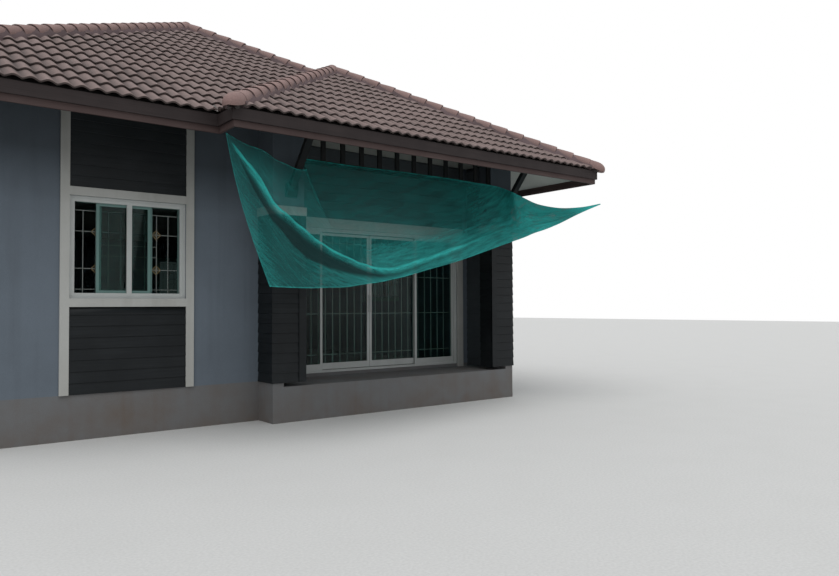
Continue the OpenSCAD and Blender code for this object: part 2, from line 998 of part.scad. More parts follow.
module cap_knuckle(place, place_z) {
  translate([place[0], place[1], place_z - cap_sink]) sphere(r = cap_r + knuckle);
}

module hip_caps() {
  color(cap_brown)
    difference() {
      intersection() {
        roof_plan(0);
        union() {
          cap_line(corner_fl, eave_z, ridge_front, ridge_z);
          cap_line(corner_bl, eave_z, ridge_back, ridge_z);
          cap_line(corner_br, eave_z, ridge_back, ridge_z);
          cap_line(ridge_back, ridge_z, ridge_front, ridge_z);
          cap_line(wing_end, wing_ridge_z, ridge_front, ridge_z);
          cap_line(wing_fl, eave_z, wing_top, wing_ridge_z);
          cap_line(wing_fr, eave_z, wing_top, wing_ridge_z);
          cap_line(wing_top, wing_ridge_z, wing_end, wing_ridge_z);
          cap_knuckle(ridge_front, ridge_z);
          cap_knuckle(ridge_back, ridge_z);
          cap_knuckle(wing_top, wing_ridge_z);
          cap_knuckle(wing_end, wing_ridge_z);
        }
      }
      under_roof(0);
    }
}

// Shade net: a sheet between two edges whose points are chosen by hand, from the
// left, and measured from the middle of the porch beam's lower front edge. The
// top edge is tied to the wing's corner and lies along that beam; the bottom
// edge is free.
net_top_edge = [
  [-3022, -728, 40], [-2770, -628, -22], [-2502, -578, -65], [-2312, -478, -120],
  [-2122, -398, -145], [-1937, -328, -170], [-1802, -318, -155], [-1762, -108, -40],
  [-1682, -28, 10], [-1072, -23, 0], [-322, -23, 15], [448, -23, 20],
  [1278, -23, 10], [1758, -78, -10], [1823, -328, -105], [1948, -333, -140],
  [2378, -338, -240], [2878, -353, -260], [3378, -373, -210], [3873, -398, -110]];
net_low_edge = [
  [-3012, -1778, -1670], [-2752, -1718, -1675], [-2482, -1658, -1675],
  [-2242, -1588, -1665], [-1992, -1528, -1655], [-1722, -1468, -1620],
  [-1472, -1418, -1590], [-1272, -1368, -1555], [-1022, -1308, -1510],
  [-562, -1218, -1405], [-52, -1128, -1290], [478, -1038, -1145], [1038, -938, -990],
  [1478, -868, -870], [1758, -808, -785], [2078, -758, -700], [2478, -678, -580],
  [2978, -588, -405], [3428, -498, -260], [3878, -403, -125]];
net_rows = 8;

// A point of the net: i along it, j from the top edge down
function net_point(i, j) =
  let (f = j / net_rows, u = i / (len(net_top_edge) - 1), down = sin(180 * f),
    straight = net_top_edge[i] * (1 - f) + net_low_edge[i] * f,
    belly = net_belly * sin(180 * u) * down * (1 - 0.4 * f),
    bow = net_bow * pow(1 - u, 6) * down)
  [door_x, wing_y, beam_z] + straight + [-bow, 0.4 * belly, -belly];

module shade_net() {
  columns = len(net_top_edge);
  layer = columns * (net_rows + 1);
  front = [for (j = [0 : net_rows]) for (i = [0 : columns - 1]) net_point(i, j)];
  back = [for (p = front) p + [0, net_t, 0]];
  function at(i, j) = j * columns + i;
  faces = [
    for (j = [0 : net_rows - 1]) for (i = [0 : columns - 2]) each [
      [at(i, j), at(i + 1, j), at(i + 1, j + 1)],
      [at(i, j), at(i + 1, j + 1), at(i, j + 1)],
      [layer + at(i, j), layer + at(i + 1, j + 1), layer + at(i + 1, j)],
      [layer + at(i, j), layer + at(i, j + 1), layer + at(i + 1, j + 1)]],
    for (i = [0 : columns - 2]) each [
      [at(i, 0), layer + at(i, 0), layer + at(i + 1, 0)],
      [at(i, 0), layer + at(i + 1, 0), at(i + 1, 0)],
      [at(i, net_rows), layer + at(i + 1, net_rows), layer + at(i, net_rows)],
      [at(i, net_rows), at(i + 1, net_rows), layer + at(i + 1, net_rows)]],
    for (j = [0 : net_rows - 1]) each [
      [at(0, j), at(0, j + 1), layer + at(0, j + 1)],
      [at(0, j), layer + at(0, j + 1), layer + at(0, j)],
      [at(columns - 1, j), layer + at(columns - 1, j + 1), at(columns - 1, j + 1)],
      [at(columns - 1, j), layer + at(columns - 1, j), layer + at(columns - 1, j + 1)]]];
  color(net_green)
    polyhedron(concat(front, back), faces);
}

foundation();
floor_slab();
wall_front();
wall_left();
wall_right();
wall_back();
terrace_wall_left();
terrace_wall_right();
pier_left();
pier_right();
pier_cladding();
pier_bands();
door_wall_left();
door_wall_right();
door_wall_top();
door_trim();
door_frame();
fixed_panels();
fixed_glass();
door_leaf_left();
door_leaf_right();
leaf_glass_left();
leaf_glass_right();
window_trims();
window_frames();
window_glass();
board_panels();
side_door();
ceiling();
terrace_ceiling();
porch_beam();
porch_header();
porch_slats();
knee_braces();
roof_front();
roof_left();
roof_back();
roof_right();
roof_wing_front();
roof_wing_left();
soffits();
fascia_upper();
fascia_lower();
hip_caps();
shade_net();
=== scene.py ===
# %% [markdown]
# # A single-storey house, dressed round its CAD frame
# The CAD model already has the walls, the openings, the sliding door and the
# roof planes. This script adds what a visitor sees first: tiles with rolled
# courses, hip caps in mortar, lapped boards, window bars, a shade net, and
# paint that has stood outside for some years. Everything is in metres, in the
# frame of the CAD model, so a new piece goes where the CAD solid is.

# %% Load the frame
import math

import bmesh
import bpy
from mathutils import Matrix, Vector, noise


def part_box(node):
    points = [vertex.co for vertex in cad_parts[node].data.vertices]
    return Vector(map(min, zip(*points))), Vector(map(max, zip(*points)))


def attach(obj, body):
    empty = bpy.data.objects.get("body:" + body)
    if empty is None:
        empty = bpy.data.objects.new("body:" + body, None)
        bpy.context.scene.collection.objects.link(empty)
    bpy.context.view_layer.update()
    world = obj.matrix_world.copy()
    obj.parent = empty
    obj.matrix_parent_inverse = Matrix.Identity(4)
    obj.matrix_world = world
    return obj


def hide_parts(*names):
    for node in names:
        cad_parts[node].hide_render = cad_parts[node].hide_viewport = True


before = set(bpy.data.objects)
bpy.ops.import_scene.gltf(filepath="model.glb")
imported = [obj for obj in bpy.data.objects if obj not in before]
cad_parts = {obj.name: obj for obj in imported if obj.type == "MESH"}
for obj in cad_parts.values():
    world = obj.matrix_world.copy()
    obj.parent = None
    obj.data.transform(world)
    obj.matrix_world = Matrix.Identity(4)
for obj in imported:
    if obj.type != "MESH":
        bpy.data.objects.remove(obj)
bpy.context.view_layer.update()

# %% [markdown]
# ## Camera
# The camera stands on the street at eye height. A real photograph gives the
# horizon and two vanishing points, and these give the lens and the three
# angles. The angles are applied in the order yaw, pitch, roll, as on a tripod.

# %% Camera
EYE = Vector((-4.3704, -13.3052, 1.4505))
YAW = math.radians(37.976)
PITCH = math.radians(1.498)
ROLL = math.radians(-0.287)
LENS = 30.41

scene = bpy.context.scene
camera = bpy.data.objects.new("street_camera", bpy.data.cameras.new("street_camera"))
scene.collection.objects.link(camera)
camera.data.lens = LENS
camera.data.sensor_width = 36.0
camera.data.clip_end = 200.0
camera.matrix_world = (
    Matrix.Translation(EYE)
    @ Matrix.Rotation(-YAW, 4, "Z")
    @ Matrix.Rotation(math.pi / 2 + PITCH, 4, "X")
    @ Matrix.Rotation(ROLL, 4, "Z")
)
scene.camera = camera
scene.view_settings.view_transform = "Standard"

# %% [markdown]
# ## Helpers for meshes
# A finished piece keeps its object at the origin, so its mesh holds its place.
# A shape is a list of points and a list of faces. Most shapes here are a skin
# over rows of points, and some are cut with a plane, as with a saw.


# %% Mesh helpers
def new_piece(name, shape, finish=None, smooth_angle=None, edges=()):
    """An object made of (points, faces), smooth where faces meet at less than an angle."""
    mesh = bpy.data.meshes.new(name)
    mesh.from_pydata([tuple(p) for p in shape[0]], edges, shape[1])
    mesh.update()
    if finish:
        mesh.materials.append(finish)
    piece = bpy.data.objects.new(name, mesh)
    scene.collection.objects.link(piece)
    if smooth_angle is not None:
        soften(piece, smooth_angle)
    return piece


def soften(piece, angle):
    """Smooth shading, with an edge kept sharp where it bends by more than angle degrees."""
    piece.data.shade_smooth()
    piece.data.set_sharp_from_angle(angle=math.radians(angle))


def skin(rows):
    """A closed shape over rows of points: each row goes round it once, and both ends are capped."""
    n = len(rows[0])
    points = [p for row in rows for p in row]
    faces = [
        (a + k, a + (k + 1) % n, a + n + (k + 1) % n, a + n + k)
        for a in range(0, len(points) - n, n) for k in range(n)]
    faces += [tuple(reversed(range(n))), tuple(range(len(points) - n, len(points)))]
    return points, faces


def box_shape(low, high):
    """A block between two corners."""
    (x0, y0, z0), (x1, y1, z1) = low, high
    return skin([[(x0, y0, z), (x1, y0, z), (x1, y1, z), (x0, y1, z)] for z in (z0, z1)])


def gather(shapes):
    """Several shapes as one."""
    points, faces = [], []
    for some_points, some_faces in shapes:
        faces += [tuple(i + len(points) for i in face) for face in some_faces]
        points += some_points
    return points, faces


def saw(piece, cuts):
    """Cuts a piece at planes of (place, direction), drops what lies beyond and closes the ends."""
    shape = bmesh.new()
    shape.from_mesh(piece.data)
    for place, beyond in cuts:
        bmesh.ops.bisect_plane(
            shape, geom=shape.verts[:] + shape.edges[:] + shape.faces[:],
            plane_co=place, plane_no=beyond, clear_outer=True)
        bmesh.ops.holes_fill(shape, edges=[e for e in shape.edges if e.is_boundary], sides=0)
    shape.to_mesh(piece.data)
    shape.free()


def point_outwards(piece, merge=0.0):
    """Turns the faces of a closed mesh outwards, with points closer than merge made one."""
    shape = bmesh.new()
    shape.from_mesh(piece.data)
    if merge:
        bmesh.ops.remove_doubles(shape, verts=shape.verts, dist=merge)
    bmesh.ops.recalc_face_normals(shape, faces=shape.faces)
    shape.to_mesh(piece.data)
    shape.free()
    return piece


def store(piece, name, values):
    """Keeps one number for each point of the mesh, which a material can read."""
    layer = piece.data.attributes.new(name, "FLOAT", "POINT")
    layer.data.foreach_set("value", values)


def axes(x, y, z, origin):
    """The matrix that lays the local axes along three directions, from an origin."""
    return Matrix.Translation(origin) @ Matrix((x, y, z)).transposed().to_4x4()


def on_wall(along, place, z=0.0):
    """The matrix of a wall seen from outside: x along it, y into the room, z up."""
    return axes((along.x, along.y, 0), (-along.y, along.x, 0), (0, 0, 1), (place[0], place[1], z))


def join(name, pieces):
    """Several mesh objects as one, with their materials and attributes kept."""
    for piece in bpy.context.selected_objects:
        piece.select_set(False)
    for piece in pieces:
        piece.select_set(True)
    bpy.context.view_layer.objects.active = pieces[0]
    bpy.ops.object.join()
    pieces[0].name = name
    pieces[0].data.name = name
    return pieces[0]


def finish_piece(piece, body="house", replaces=()):
    """Hangs the piece on the empty of the body that it moves with, and hides the CAD nodes that it
    replaces.
    """
    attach(piece, body)
    if replaces:
        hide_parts(*replaces)
    print(piece.name, len(piece.data.polygons), "faces, rides on", body)


# %% [markdown]
# ## Helpers for node trees
# Shader trees and geometry trees are built the same way: make a node, set what
# is fixed on it, and link what comes from another node. One small class does
# this for both, so that a tree reads from top to bottom like a recipe. Most of
# its methods give back the socket that the next step needs.


# %% Node helpers
class Recipe:
    """Adds nodes to a tree. What goes into a node is a number, a colour or another node's socket."""

    def __init__(self, tree):
        self.tree = tree

    def fill(self, node, inputs):
        """Links or sets the inputs of a node. A plain colour is three numbers."""
        for name, value in inputs.items():
            socket = node.inputs[name]
            if isinstance(value, bpy.types.NodeSocket):
                self.tree.links.new(value, socket)
            else:
                socket.default_value = (*value, 1.0) if socket.type == "RGBA" else value
        return node

    def node(self, kind, inputs=None, **settings):
        made = self.tree.nodes.new(kind)
        for name, value in settings.items():
            setattr(made, name, value)
        return self.fill(made, inputs or {})

    def first(self, kind, inputs=None, **settings):
        """The first output of a new node."""
        return self.node(kind, inputs, **settings).outputs[0]

    def calc(self, operation, a, b=0.0, clamp=False):
        return self.first("ShaderNodeMath", {0: a, 1: b}, operation=operation, use_clamp=clamp)

    def plus(self, a, b, clamp=False):
        return self.calc("ADD", a, b, clamp)

    def minus(self, a, b):
        return self.calc("SUBTRACT", a, b)

    def times(self, a, b, clamp=False):
        return self.calc("MULTIPLY", a, b, clamp)

    def mix(self, share, a, b):
        """Colour a with a share of colour b laid over it."""
        return self.node("ShaderNodeMix", {0: share, 6: a, 7: b}, data_type="RGBA").outputs[2]

    def scaled(self, colour, factor):
        return self.first("ShaderNodeVectorMath", {0: colour, "Scale": factor}, operation="SCALE")

    def stretched(self, vector, factors):
        return self.first("ShaderNodeVectorMath", {0: vector, 1: factors}, operation="MULTIPLY")

    def place(self):
        """Object coordinates."""
        return self.node("ShaderNodeTexCoord").outputs["Object"]

    def split(self, vector):
        """The x, y and z of a vector."""
        return self.node("ShaderNodeSeparateXYZ", {0: vector}).outputs

    def joined(self, x, y=0.0, z=0.0):
        return self.first("ShaderNodeCombineXYZ", {0: x, 1: y, 2: z})

    def noise(self, vector, scale, detail, roughness=0.5):
        return self.first("ShaderNodeTexNoise", {
            "Vector": vector, "Scale": scale, "Detail": detail, "Roughness": roughness})

    def remap(self, value, low, high, to_low=0.0, to_high=1.0):
        """Turns low to high into to_low to to_high, and holds what lies beyond."""
        return self.first("ShaderNodeMapRange", {
            "Value": value, "From Min": low, "From Max": high, "To Min": to_low, "To Max": to_high})

    def stored(self, *names):
        """Numbers that the mesh stores for each point."""
        return [self.node("ShaderNodeAttribute", attribute_name=n).outputs["Fac"] for n in names]

    def bump(self, height, distance):
        """A bump of this real depth, from a height that runs from 0 to 1."""
        return self.first("ShaderNodeBump", {"Height": height, "Distance": distance, "Strength": 1.0})


# %% Trees and their results
SOCKET_KINDS = {int: "Int", float: "Float", tuple: "Color"}


def new_tree(name, kind, inputs, outputs):
    """A node group with named sockets, each given by its start value or by its kind in words."""
    tree = bpy.data.node_groups.new(name, kind + "NodeTree")
    for way, sockets in (("INPUT", inputs), ("OUTPUT", outputs)):
        for label, value in sockets.items():
            kind = value if isinstance(value, str) else SOCKET_KINDS[type(value)]
            made = tree.interface.new_socket(label, in_out=way, socket_type="NodeSocket" + kind)
            if kind != value:
                made.default_value = value
    make = Recipe(tree)
    return make, make.node("NodeGroupInput").outputs, make.node("NodeGroupOutput")


def grow(name, tree, values):
    """Runs a geometry tree with these named inputs and gives the result as a plain mesh piece."""
    piece = new_piece(name, ([], []))
    modifier = piece.modifiers.new("grow", "NODES")
    modifier.node_group = tree
    for item in tree.interface.items_tree:
        if item.item_type == "SOCKET" and item.in_out == "INPUT" and item.name in values:
            modifier[item.identifier] = values[item.name]
    depsgraph = bpy.context.evaluated_depsgraph_get()
    mesh = bpy.data.meshes.new_from_object(piece.evaluated_get(depsgraph), depsgraph=depsgraph)
    piece.modifiers.clear()
    piece.data = mesh
    mesh.name = name
    return piece


# %% [markdown]
# ## Shared finish: weathering
# Outdoor paint is never one colour. Rain draws soft streaks down a wall, dust
# settles in patches, and the surface has a grain of a few millimetres. The part
# close under the eaves is made darker: partly dust that is never rinsed off,
# partly painted shade of the eaves. One node group makes all of this from the
# object coordinates, and each material sets how much of it shows. It gives out
# a colour, a roughness and a height for a bump, and leaves the shader itself to
# the material.


# %% Weathering group
def make_weathering():
    make, start, end = new_tree("weathering", "Shader", {
        "Color": (0.5, 0.5, 0.5, 1.0), "Dirt color": (0.2, 0.17, 0.14, 1.0), "Patches": 0.2,
        "Streaks": 0.2, "Splash": 0.0, "Eave dust and shade": 0.0, "Grain size": 0.004, "Roughness": 0.7,
    }, {"Color": "Color", "Roughness": "Float", "Height": "Float"})
    place = make.place()
    above_ground = make.split(place)[2]
    patches = make.remap(make.noise(place, 1.7, 6.0), 0.42, 0.75)
    streaks = make.remap(make.noise(make.stretched(place, (9.0, 9.0, 0.5)), 1.0, 4.0), 0.5, 0.8)
    splash = make.times(make.remap(above_ground, 0.9, 0.0), make.noise(place, 6.0, 5.0))
    dirt = make.times(patches, start["Patches"])
    dirt = make.plus(dirt, make.times(streaks, start["Streaks"]))
    dirt = make.plus(dirt, make.times(splash, start["Splash"]), clamp=True)
    # Darker from 2.6 m to 3.2 m up: partly dust under the eaves, partly painted shade of the eaves.
    eave_dust_and_shade = make.times(make.remap(above_ground, 2.6, 3.2), start["Eave dust and shade"])
    grain = make.noise(place, make.calc("DIVIDE", 1.0, start["Grain size"]), 2.0)
    toned = make.scaled(start["Color"], make.remap(grain, 0.3, 0.7, 0.94, 1.05))
    dirty = make.mix(dirt, toned, start["Dirt color"])
    make.fill(end, {
        "Color": make.scaled(dirty, make.minus(1.0, eave_dust_and_shade)),
        "Roughness": make.plus(start["Roughness"], make.times(dirt, 0.25), clamp=True),
        "Height": grain})
    return make.tree


weathering = make_weathering()


def new_material(name, shine=0.5, metallic=0.0):
    """A material, the recipe for its tree, and its Principled shader."""
    material = bpy.data.materials.new(name)
    material.use_nodes = True
    make = Recipe(material.node_tree)
    shader = material.node_tree.nodes["Principled BSDF"]
    return material, make, make.fill(shader, {"Specular IOR Level": shine, "Metallic": metallic})


# eave sets how much darker the surface gets under the eaves: partly dust, partly painted shade.
def painted(name, colour, dirt=(0.2, 0.17, 0.14), patches=0.15, streaks=0.15, splash=0.0, eave=0.0,
            grain=0.004, depth=0.0004, roughness=0.6, metallic=0.0, shine=0.5):
    """A painted or rendered surface with its own amount of weather."""
    material, make, shader = new_material(name, shine, metallic)
    weathered = make.node("ShaderNodeGroup", {
        "Color": colour, "Dirt color": dirt, "Patches": patches, "Streaks": streaks,
        "Splash": splash, "Eave dust and shade": eave, "Grain size": grain, "Roughness": roughness,
    }, node_tree=weathering).outputs
    make.fill(shader, {
        "Base Color": weathered["Color"], "Roughness": weathered["Roughness"],
        "Normal": make.bump(weathered["Height"], depth)})
    return material


# %% [markdown]
# ## Paint on the carried CAD pieces
# Walls, frames and boards keep their CAD meshes, because their shapes are
# right. Each gets a material of its own: matt cement render on the walls,
# satin paint on the trims, powder coat on the aluminium, and black paint on
# the steelwork of the porch.

# %% Wall and trim materials
# The render darkens towards the eaves (eave): partly dust, partly painted shade of the eaves.
grey_render = painted(
    "grey_render", (0.150, 0.180, 0.215), dirt=(0.075, 0.085, 0.095), patches=0.22, streaks=0.2,
    splash=0.35, eave=0.62, grain=0.006, depth=0.0012, roughness=0.85, shine=0.15)
grey_plinth = painted(
    "grey_plinth", (0.17, 0.18, 0.19), dirt=(0.14, 0.10, 0.07), patches=0.3, streaks=0.2,
    splash=0.6, grain=0.008, depth=0.002, roughness=0.9, shine=0.2)
# The trim darkens towards the eaves (eave): partly dust, partly painted shade of the eaves.
cream_trim = painted(
    "cream_trim", (0.46, 0.465, 0.445), dirt=(0.2, 0.18, 0.15), patches=0.2, streaks=0.25,
    splash=0.3, eave=0.45, grain=0.003, depth=0.0003, roughness=0.5, shine=0.3)
white_aluminium = painted(
    "white_aluminium", (0.50, 0.52, 0.51), dirt=(0.25, 0.25, 0.23), patches=0.12, splash=0.2,
    grain=0.0015, depth=0.0001, roughness=0.4, shine=0.3)
white_paint = painted(
    "white_paint", (0.68, 0.68, 0.62), dirt=(0.28, 0.26, 0.2), streaks=0.2, splash=0.3,
    grain=0.003, depth=0.0003, roughness=0.5)
black_paint = painted(
    "black_paint", (0.008, 0.009, 0.010), dirt=(0.05, 0.045, 0.04), patches=0.2, streaks=0.2,
    grain=0.002, depth=0.0002, roughness=0.5, shine=0.15)
# The porch board is the pale board made darker, as painted shade of the terrace ceiling.
pale_board, shaded_porch_board = [
    painted(name, colour, dirt=(0.26, 0.25, 0.22), patches=0.3, streaks=0.0, depth=0.0003,
            roughness=0.8, shine=0.2)
    for name, colour in (("pale_board", (0.45, 0.48, 0.45)), ("shaded_porch_board", (0.27, 0.29, 0.27)))]
SASH_DEPTHS = (0.062, 0.200)


def sashes_darker(material, colour, wall_x, wall_y):
    """Another colour for what lies inside a wall face by a depth in SASH_DEPTHS."""
    make = Recipe(material.node_tree)
    shader = material.node_tree.nodes["Principled BSDF"]
    plain = shader.inputs["Base Color"].links[0].from_socket
    x, y, z = make.split(make.place())
    in_x = make.minus(wall_x, make.calc("ABSOLUTE", x))
    in_y = make.minus(wall_y, make.calc("ABSOLUTE", y))
    depth = make.calc("MINIMUM", in_x, in_y)
    behind = make.calc("GREATER_THAN", depth, SASH_DEPTHS[0])
    mask = make.times(behind, make.calc("LESS_THAN", depth, SASH_DEPTHS[1]))
    make.fill(shader, {"Base Color": make.mix(mask, plain, colour)})


wall_low, wall_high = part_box("foundation")
sashes_darker(white_aluminium, (0.13, 0.23, 0.215), wall_high.x, wall_high.y)

# %% [markdown]
# ## Glass
# Float glass in this kind of house is tinted green. A low index of refraction
# keeps its mirror image weak, so that the bars behind it stay readable. The
# panes at the sides and the back are tinted nearly black, as painted shade of
# the rooms, which keeps a visitor from looking right through the empty rooms.
# A step on the y coordinate tells the two kinds of pane apart.

# %% Glass material
# Panes further back than this y are tinted nearly black, as painted shade of the rooms.
SHADE_TINT_STARTS_Y = -4.0


def make_glass():
    """Clear green glass in front, glass tinted nearly black behind as painted shade, both with a
    little dust.
    """
    material, make, shader = new_material("window_glass")
    place = make.place()
    # Panes behind the front wall get the near-black tint: painted shade of the rooms behind them.
    shade_tinted = make.calc("GREATER_THAN", make.split(place)[1], SHADE_TINT_STARTS_Y)
    dust = make.noise(place, 3.0, 5.0)
    clear = make.mix(dust, (0.56, 0.76, 0.73), (0.46, 0.66, 0.63))
    make.fill(shader, {
        "Base Color": make.mix(shade_tinted, clear, (0.010, 0.016, 0.015)),
        "Roughness": make.remap(dust, 0.5, 0.8, 0.0, 0.03),
        "Transmission Weight": 1.0, "IOR": 1.20})
    return material


window_glass = make_glass()

# %% [markdown]
# ## Long boards
# Fascia boards and lapped boards have a grain that runs along them. Every such
# board here is level and faces along X or Y, so the sum of x and y runs along
# all of them. Noise that is stretched in that direction gives the grain.


# %% Board materials
def board_material(name, colour, pale, wear, roughness):
    """Painted board with a lengthwise grain, paler where the paint has worn."""
    material, make, shader = new_material(name, shine=0.2)
    place = make.place()
    x, y, z = make.split(place)
    along = make.joined(make.times(make.plus(x, y), 1.2), 0.0, make.times(z, 70.0))
    grain = make.noise(along, 1.0, 5.0, 0.65)
    worn = make.remap(make.times(grain, make.noise(place, 2.3, 6.0)), 0.2, 0.42, 0.0, wear)
    make.fill(shader, {
        "Base Color": make.mix(worn, colour, pale), "Roughness": roughness,
        "Normal": make.bump(grain, 0.0008)})
    return material


dark_boards = board_material("dark_boards", (0.0075, 0.0095, 0.011), (0.022, 0.026, 0.029), 0.5, 0.5)
brown_board = board_material("brown_board", (0.024, 0.018, 0.018), (0.048, 0.037, 0.036), 0.6, 0.6)
terrace_boards = board_material(
    "terrace_boards", (0.050, 0.060, 0.066), (0.074, 0.086, 0.094), 0.5, 0.6)
red_board = board_material("red_board", (0.060, 0.039, 0.037), (0.095, 0.068, 0.064), 0.6, 0.6)

# %% [markdown]
# ## Which CAD node gets which finish
# The frame gives every CAD node by its name, and its mesh takes one material.
# One table keeps all these choices where they can be read and changed.

# %% Materials on the carried CAD nodes
CARRIED = {
    grey_plinth: "foundation floor_slab",
    grey_render: "wall_front wall_left wall_right wall_back terrace_wall_left terrace_wall_right "
                 "pier_left pier_right door_wall_left door_wall_right door_wall_top",
    cream_trim: "pier_bands door_trim window_trims",
    white_aluminium: "door_frame fixed_panels door_leaf_left door_leaf_right window_frames",
    window_glass: "fixed_glass leaf_glass_left leaf_glass_right window_glass",
    white_paint: "side_door",
    pale_board: "ceiling soffits",
    # The terrace ceiling takes the darker copy of the pale board: painted shade.
    shaded_porch_board: "terrace_ceiling",
    black_paint: "porch_beam porch_header porch_slats knee_braces",
    brown_board: "fascia_upper",
    red_board: "fascia_lower",
}
for material, names in CARRIED.items():
    for name in names.split():
        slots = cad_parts[name].data.materials
        slots.clear()
        slots.append(material)
print(sum(len(names.split()) for names in CARRIED.values()), "CAD nodes painted")

# %% [markdown]
# ## The roof planes
# The roof is two hip roofs that meet in one valley. All planes rise at the same
# angle, so in plan every hip and the valley run at 45 degrees. The boxes of the
# CAD nodes give the tile edges and the ridges, and the outline of each plane
# follows from them.

# %% Roof plan from the frame
SLOPE = math.radians(30.0)
left_low, left_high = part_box("roof_left")
wing_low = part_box("roof_wing_front")[0]
left_x, front_y, back_y = left_low.x, left_low.y, left_high.y
right_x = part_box("roof_right")[1].x
wing_x = wing_low.x
ridge_x, ridge_z = left_high.x, left_high.z
half_width = ridge_x - left_x
eave_z = ridge_z - half_width * math.tan(SLOPE)
wing_half = (right_x - wing_x) / 2
wing_ridge_z = eave_z + wing_half * math.tan(SLOPE)

corner_front_left = Vector((left_x, front_y))
corner_back_left = Vector((left_x, back_y))
corner_back_right = Vector((right_x, back_y))
valley_foot = Vector((wing_x, front_y))
wing_corner_left = Vector((wing_x, wing_low.y))
wing_corner_right = Vector((right_x, wing_low.y))
ridge_front = Vector((ridge_x, front_y + half_width))
ridge_back = Vector((ridge_x, back_y - half_width))
wing_top = Vector((wing_x + wing_half, wing_low.y + wing_half))
wing_end = Vector((wing_x + wing_half, front_y + wing_half))
right_break = Vector((right_x, wing_end.y))
print("eave", round(eave_z, 3), "ridge", round(ridge_z, 3), "wing ridge", round(wing_ridge_z, 3))

# The convex outlines of each plane in plan. The first edge of the first one is an eave, and runs
# from left to right as seen from outside.
PLANES = {
    "front": [[corner_front_left, valley_foot, wing_end, ridge_front]],
    "left": [[corner_back_left, corner_front_left, ridge_front, ridge_back]],
    "back": [[corner_back_right, corner_back_left, ridge_back]],
    "right": [
        [wing_corner_right, right_break, wing_end, wing_top],
        [right_break, corner_back_right, ridge_back, ridge_front, wing_end]],
    "wing_front": [[wing_corner_left, wing_corner_right, wing_top]],
    "wing_left": [[valley_foot, wing_corner_left, wing_top, wing_end]],
}


def plane_frame(corner, along):
    """The matrix that takes (along the eave, up the slope, off the roof) to the house."""
    across = Vector((along.x, along.y, 0))
    up = Vector((-along.y * math.cos(SLOPE), along.x * math.cos(SLOPE), math.sin(SLOPE)))
    return axes(across, up, across.cross(up), (corner.x, corner.y, eave_z))


# %% [markdown]
# ## One roof tile
# Concrete S-tiles are 300 mm wide, with two rolls and two pans, and each course
# covers 320 mm of the slope. A tile lies on the head of the one below, so its
# lower end, the nose, ends in a step that casts the dark line under every
# course. The profile is a cosine raised to a power below one, which makes the
# rolls broad and the pans narrow.

# %% Tile mesh
TILE_WIDTH = 0.300
ROLL_WIDTH = 0.150
TILE_GAUGE = 0.320
TILE_LENGTH = 0.370
TILE_THICK = 0.020
ROLL_HIGH = 0.029
ROLL_POWER = 0.72
HEAD_LIFT = -0.032
TILE_STEPS = 20


def tile_height(u):
    """Height of the tile's profile at a distance across it."""
    wave = 0.5 - 0.5 * math.cos(2 * math.pi * u / ROLL_WIDTH)
    return ROLL_HIGH * wave ** ROLL_POWER


def make_tile():
    """The tile's section along the slope, carried across its rolls and pans."""
    section = [
        (0.0, -TILE_THICK), (TILE_LENGTH, HEAD_LIFT - TILE_THICK), (TILE_LENGTH, HEAD_LIFT),
        (0.007, 0.0), (0.0, -0.004)]
    across = [TILE_WIDTH * i / TILE_STEPS for i in range(TILE_STEPS + 1)]
    rows = [[(u, v, z + tile_height(u)) for v, z in section] for u in across]
    tile = new_piece("one_tile", skin(rows))
    store(tile, "up_tile", [min(1.0, v.co.y / TILE_LENGTH) for v in tile.data.vertices])
    store(tile, "on_roll", [tile_height(v.co.x) / ROLL_HIGH for v in tile.data.vertices])
    return tile


one_tile = make_tile()
print("one tile has", len(one_tile.data.polygons), "faces")

# %% [markdown]
# ## Tiles over a plane
# Geometry Nodes lay the tiles: a grid of points, one instance on each point, a
# slight random turn, and a random tone that the material reads. Realize
# Instances turns the copies into one mesh. That mesh is then cut in Python
# along the hips and the valley, as a tiler cuts the real ones with a saw.


# %% Tile laying tree
def random_turn(make, start):
    """A random turn about all three axes, from the inputs Unevenness and Seed."""
    most = start["Unevenness"]
    least = make.times(most, -1.0)
    return make.first("FunctionNodeRandomValue", {
        "Min": make.joined(least, least, least), "Max": make.joined(most, most, most),
        "Seed": start["Seed"]}, data_type="FLOAT_VECTOR")


def copies(make, points, original, **more):
    """One instance of an object on every point."""
    shape = make.node("GeometryNodeObjectInfo", {"Object": original}).outputs["Geometry"]
    return make.first("GeometryNodeInstanceOnPoints", {"Points": points, "Instance": shape, **more})


def random_tone(make, copied, seed):
    """Stores a random tone on every instance."""
    tone = make.node("FunctionNodeRandomValue", {"Seed": seed}).outputs[1]
    return make.first("GeometryNodeStoreNamedAttribute", {
        "Geometry": copied, "Name": "tone", "Value": tone}, data_type="FLOAT", domain="INSTANCE")


def end_tree(make, end, copied, finish):
    """Turns the instances into one mesh with a material, as the tree's result."""
    real = make.first("GeometryNodeRealizeInstances", {0: copied})
    done = make.first("GeometryNodeSetMaterial", {"Geometry": real, "Material": finish})
    make.fill(end, {"Geometry": done})
    return make.tree


GEOMETRY = {"Geometry": "Geometry"}


def make_tile_tree():
    make, start, end = new_tree("lay_tiles", "Geometry", {
        "Tile": "Object", "Columns": 10, "Courses": 10, "Width": TILE_WIDTH, "Gauge": TILE_GAUGE,
        "Unevenness": 0.004, "Seed": 1, "Finish": "Material"}, GEOMETRY)
    wide = make.times(make.minus(start["Columns"], 1.0), start["Width"])
    long = make.times(make.minus(start["Courses"], 1.0), start["Gauge"])
    grid = make.first("GeometryNodeMeshGrid", {
        "Size X": wide, "Size Y": long,
        "Vertices X": start["Columns"], "Vertices Y": start["Courses"]})
    middle = make.joined(make.times(wide, 0.5), make.times(long, 0.5))
    placed = make.first("GeometryNodeTransform", {"Geometry": grid, "Translation": middle})
    laid = copies(make, placed, start["Tile"], Rotation=random_turn(make, start))
    toned = random_tone(make, laid, make.plus(start["Seed"], 7.0))
    return end_tree(make, end, toned, start["Finish"])


lay_tiles = make_tile_tree()
